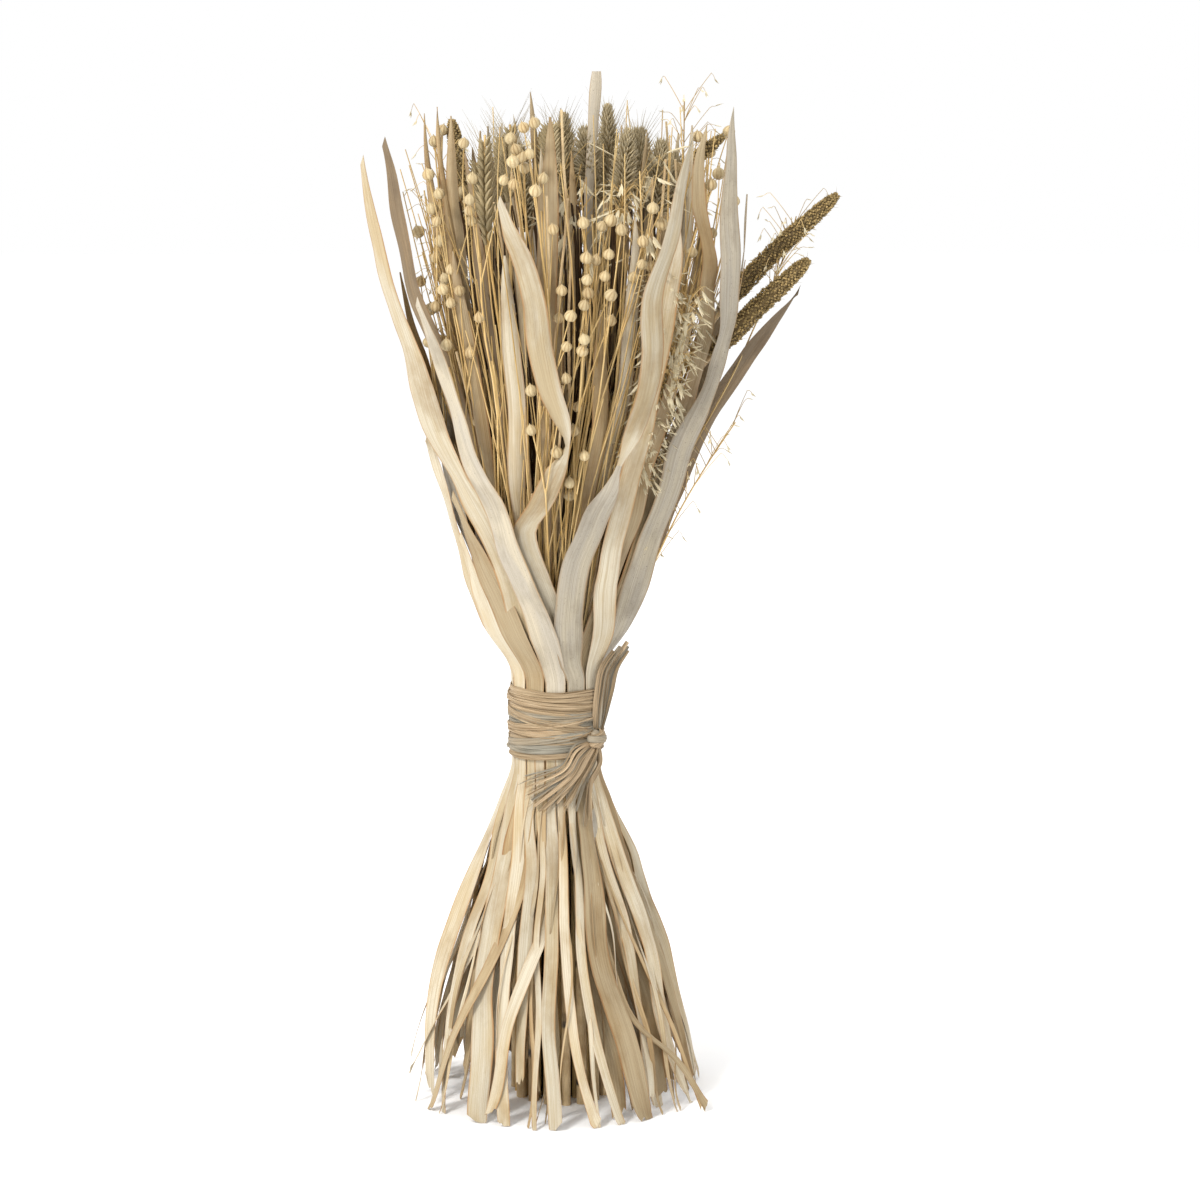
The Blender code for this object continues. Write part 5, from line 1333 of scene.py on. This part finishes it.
def flat_strand(piece, points, widths, face, draw, surface, curl):
    """A loose flat strand along a path, facing a direction."""
    t = np.linspace(0, 1, 22)
    path = Curve([(tick, *point) for tick, point in zip(np.linspace(0, 1, len(points)), points)])(t)
    spans = np.interp(t, np.linspace(0, 1, len(widths)), widths)
    along = unit(np.gradient(path, axis=0))
    side = unit(np.cross(along, face))
    place = np.linspace(-1, 1, 5)
    lift = np.outer(curl * spans, place ** 2)
    lift = lift + 0.12 * np.sin(math.tau * (1.2 * place[None, :] + draw.random() + t[:, None] * 0.7))
    piece.add_ribbon(path, side, np.cross(along, side), spans, lift, draw, surface, 0.35)


# Materials: colours of the ground, its patches, its dark lines and its marked part, from 0 to 255 as a
# screen shows them, and settings

BRIGHTNESS = 0.93
SPECK = (70, 62, 55)
LEAF = dict(smudge=0.6, vary=0.2, streak=(2.4, 0.008), streaks=0.6)
RAFFIA = dict(streak=(2.2, 0.015), streaks=0.95, relief=1.0, depth=0.5)
LOOKS = {
    "leaf_cream": ((213, 204, 182), (200, 182, 147), (156, 129, 88), (172, 124, 70),
                   dict(LEAF, speckle=0.15)),
    "leaf_grey": ((190, 181, 165), (204, 192, 168), (136, 124, 105), (160, 130, 92), dict(LEAF, speckle=0.6)),
    "leaf_tan": ((184, 166, 133), (168, 144, 105), (124, 96, 59), (156, 112, 66), dict(LEAF, speckle=0.2)),
    "leaf_gold": ((196, 173, 134), (178, 151, 109), (138, 108, 70), (144, 96, 48), dict(LEAF, speckle=0.1)),
    "leaf_brown": ((132, 115, 91), (150, 127, 95), (92, 74, 55), (140, 110, 75), dict(LEAF, speckle=0.4)),
    "cane": ((226, 202, 158), (198, 170, 128), (146, 116, 78), (56, 53, 50),
             dict(mark=(0.25, 0.7, 1.0), streak=(1.6, 0.03), blotch=(0.08, 0.05), smudge=0.6,
                  speckle=0.4)),
    "stem": ((230, 200, 141), (198, 164, 101), (136, 99, 50), (150, 110, 64),
             dict(vary=0.32, streak=(1.2, 0.05))),
    # Painted shade: this dark brown stands in for the shade inside the bundle, on the stems and straws there
    "stem_painted_shade": ((72, 48, 18), (54, 35, 13), (34, 22, 8), (46, 31, 12),
                   dict(vary=0.35, streak=(1.2, 0.05))),
    # A pod's marked colour is painted shade in its grooves, and darkens its base too
    "pod": ((214, 196, 154), (198, 175, 130), (166, 137, 94), (140, 108, 68),
            dict(streak=(0.8, 0.4), vary=0.14, mark=(0.35, 1.0, 0.95), rough=0.55)),
    "millet_core": ((112, 92, 56), (92, 74, 44), (62, 48, 28), (80, 62, 36), {}),
    "millet": ((184, 158, 106), (140, 118, 74), (94, 78, 48), (188, 156, 98),
               dict(vary=0.55, streak=(1.0, 1.0), blotch=(0.5, 0.5), mark=(0.9, 1.0, 0.0))),
    "wheat": ((180, 163, 125), (154, 137, 101), (108, 89, 58), (202, 186, 150),
              dict(vary=0.22, mark=(0.5, 1.0, 0.5))),
    "bristle_grass": ((196, 180, 143), (168, 150, 112), (108, 87, 55), (222, 212, 186),
                      dict(vary=0.3, mark=(0.5, 1.0, 0.7))),
    "oat": ((230, 219, 188), (212, 197, 160), (170, 150, 112), (234, 225, 198),
            dict(vary=0.22, mark=(0.5, 1.0, 0.5))),
    "raffia": ((202, 178, 144), (186, 164, 130), (124, 100, 72), (150, 124, 90), RAFFIA),
    "raffia_grey": ((164, 158, 142), (190, 172, 144), (108, 100, 86), (132, 122, 104), RAFFIA),
}


def linear(colour):
    shares = [value / 255 for value in colour]
    light = [share / 12.92 if share <= 0.04045 else ((share + 0.055) / 1.055) ** 2.4 for share in shares]
    return (*light, 1.0)


def add_node(tree, kind, inputs, **settings):
    """A node with its settings, and its inputs linked or set."""
    made = tree.nodes.new(kind)
    for key, value in settings.items():
        setattr(made, key, value)
    for key, value in inputs.items():
        if isinstance(value, bpy.types.NodeSocket):
            tree.links.new(value, made.inputs[key])
        else:
            made.inputs[key].default_value = value
    return made


def math_node(tree, operation, first, second):
    return add_node(tree, "ShaderNodeMath", {0: first, 1: second}, operation=operation).outputs[0]


def mix_colours(tree, factor, first, second):
    """Lays a colour over what is there, by a factor."""
    inputs = {0: factor, 6: first, 7: linear(second)}
    return add_node(tree, "ShaderNodeMix", inputs, data_type="RGBA").outputs[2]


def remap(tree, value, low, high, start=0.0, end=1.0):
    inputs = {"Value": value, "From Min": low, "From Max": high, "To Min": start, "To Max": end}
    return add_node(tree, "ShaderNodeMapRange", inputs).outputs[0]


def noise(tree, lie, across_scale, along_scale, detail=3.0):
    """Noise stretched along the piece, different for each of its shells."""
    scaled = add_node(tree, "ShaderNodeVectorMath", {0: lie, 1: (across_scale, along_scale, 61.0)},
                      operation="MULTIPLY").outputs[0]
    inputs = {"Vector": scaled, "Scale": 1.0, "Detail": detail, "Roughness": 0.6}
    return add_node(tree, "ShaderNodeTexNoise", inputs).outputs[0]


def plant_material(name, main, other, deep, marked, streak=(1.3, 0.008), blotch=(0.08, 0.014), streaks=0.5,
                   vary=0.16, mark=(0.82, 0.98, 0.9), speckle=0.0, smudge=0.0, rough=0.62, relief=0.6,
                   depth=0.3):
    """Dry plant matter: streaks along it, soft blotches, a marked part, and its own shade per shell.

    A streak and a blotch have a scale across the piece and one along it. The mark says where the marked
    part begins, where it is full, and how strong it is.
    """
    material = bpy.data.materials.new(name)
    material.use_nodes = True
    tree = material.node_tree
    shader = tree.nodes["Principled BSDF"]
    lie = add_node(tree, "ShaderNodeAttribute", {}, attribute_name="lie").outputs["Vector"]
    share = add_node(tree, "ShaderNodeSeparateXYZ", {0: lie}).outputs[2]
    marks = add_node(tree, "ShaderNodeAttribute", {}, attribute_name="mark").outputs["Fac"]

    # Patches of a second colour, and dark lines along the piece
    veins = noise(tree, lie, *streak)
    fine = noise(tree, lie, streak[0] * 3.1, streak[1] * 1.7)
    patches = noise(tree, lie, *blotch, detail=4.0)
    colour = mix_colours(tree, remap(tree, patches, 0.42, 0.62), linear(main), other)
    lines = remap(tree, math_node(tree, "ADD", veins, fine), 0.85, 1.25, 0.0, streaks)
    colour = mix_colours(tree, lines, colour, deep)
    if smudge:
        worn = remap(tree, noise(tree, lie, 0.05, 0.02, detail=5.0), 0.5, 0.68, 0.0, smudge)
        colour = mix_colours(tree, worn, colour, deep)
    # The marked part
    low, high, strength = mark
    rim = remap(tree, marks, low, high)
    rim = math_node(tree, "MULTIPLY", rim, remap(tree, patches, 0.35, 0.6, strength * 0.25, strength))
    colour = mix_colours(tree, rim, colour, marked)
    if speckle:
        spots = remap(tree, noise(tree, lie, 1.3, 1.1, detail=2.0), 0.66, 0.70)
        colour = mix_colours(tree, math_node(tree, "MULTIPLY", spots, speckle), colour, SPECK)
    # A shade of its own for each shell
    random_share = add_node(tree, "ShaderNodeTexWhiteNoise", {"W": share}, noise_dimensions="1D").outputs[0]
    shade = remap(tree, random_share, 0.0, 1.0, BRIGHTNESS * (1 - vary), BRIGHTNESS * (1 + vary * 0.6))
    bright = add_node(tree, "ShaderNodeHueSaturation", {"Value": shade, "Color": colour}).outputs[0]
    tree.links.new(bright, shader.inputs["Base Color"])
    shader.inputs["Roughness"].default_value = rough
    shader.inputs["Specular IOR Level"].default_value = 0.3
    # Relief of the veins
    height = math_node(tree, "ADD", veins, math_node(tree, "MULTIPLY", fine, 0.6))
    bump = add_node(tree, "ShaderNodeBump", {"Height": height, "Strength": relief, "Distance": depth * MM})
    tree.links.new(bump.outputs[0], shader.inputs["Normal"])
    return material


# Stage

FLOOR_HALF = 6.0
# Lights: name, place in metres, size, power, colour
LIGHTS = (
    ("key", (-1.3, -1.9, 2.2), 0.55, 66, (1.0, 0.99, 0.97)),
    ("back", (0.5, 1.9, 1.9), 1.2, 13, (1.0, 1.0, 1.0)),
)
LIGHT_TARGET = Vector((0, 0, 0.32))


def build_camera():
    data = bpy.data.cameras.new("photo_view")
    data.lens = VIEW_LENS
    data.sensor_width = 36
    camera = put("photo_view", data)
    away = Vector((0, -math.cos(VIEW_TILT), math.sin(VIEW_TILT))) * VIEW_DISTANCE * MM
    camera.location = Vector(VIEW_TARGET) * MM + away
    camera.rotation_euler = (-away).to_track_quat("-Z", "Y").to_euler()
    bpy.context.scene.camera = camera


def build_stage():
    data = bpy.data.meshes.new("floor")
    corners = [(x * FLOOR_HALF, y * FLOOR_HALF, 0) for x, y in ((-1, -1), (1, -1), (1, 1), (-1, 1))]
    data.from_pydata(corners, [], [(0, 1, 2, 3)])
    material = bpy.data.materials.new("floor_paper")
    material.use_nodes = True
    shader = material.node_tree.nodes["Principled BSDF"]
    shader.inputs["Base Color"].default_value = (1, 1, 1, 1)
    shader.inputs["Roughness"].default_value = 0.9
    data.materials.append(material)
    floor = put("floor", data)

    world = bpy.data.worlds.new("studio")
    world.use_nodes = True
    background = world.node_tree.nodes["Background"]
    background.inputs["Color"].default_value = (1, 1, 1, 1)
    background.inputs["Strength"].default_value = 1.0
    bpy.context.scene.world = world
    bpy.context.scene.view_settings.view_transform = "Standard"

    for name, place, size, power, colour in LIGHTS:
        light = bpy.data.lights.new(name, "AREA")
        light.shape = "SQUARE"
        light.size = size
        light.energy = power
        light.color = colour
        lamp = put(name, light)
        lamp.location = place
        lamp.rotation_euler = (LIGHT_TARGET - Vector(place)).to_track_quat("-Z", "Y").to_euler()


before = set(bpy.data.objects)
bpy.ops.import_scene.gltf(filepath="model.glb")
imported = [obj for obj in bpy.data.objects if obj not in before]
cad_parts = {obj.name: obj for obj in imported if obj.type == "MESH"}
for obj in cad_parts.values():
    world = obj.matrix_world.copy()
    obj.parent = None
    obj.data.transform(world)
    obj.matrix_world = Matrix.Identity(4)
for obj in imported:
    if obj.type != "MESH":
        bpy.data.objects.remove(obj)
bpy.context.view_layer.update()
PLACES = strand_places()
MATERIALS = {name: plant_material(name, *colours, **looks) for name, (*colours, looks) in LOOKS.items()}
build_camera()
build_stage()
# Each group of pieces, with the seed of its random draws
for build, seed in (
    (build_leaves, 101), (build_more_strips, 57), (build_loose_strips, 89),
    (build_fibres, 83), (build_more_blades, 61), (build_canes, 3),
    (build_more_canes, 79), (build_millets, 5), (build_wheats, 8),
    (build_bristle_grasses, 13), (build_inner_leaves, 17), (build_more_heads, 67),
    (build_top_blades, 71), (build_flax, 29), (build_panicles, 37),
    (build_feathers, 73), (build_straws, 41), (build_tie, 43),
):
    build(random.Random(seed))
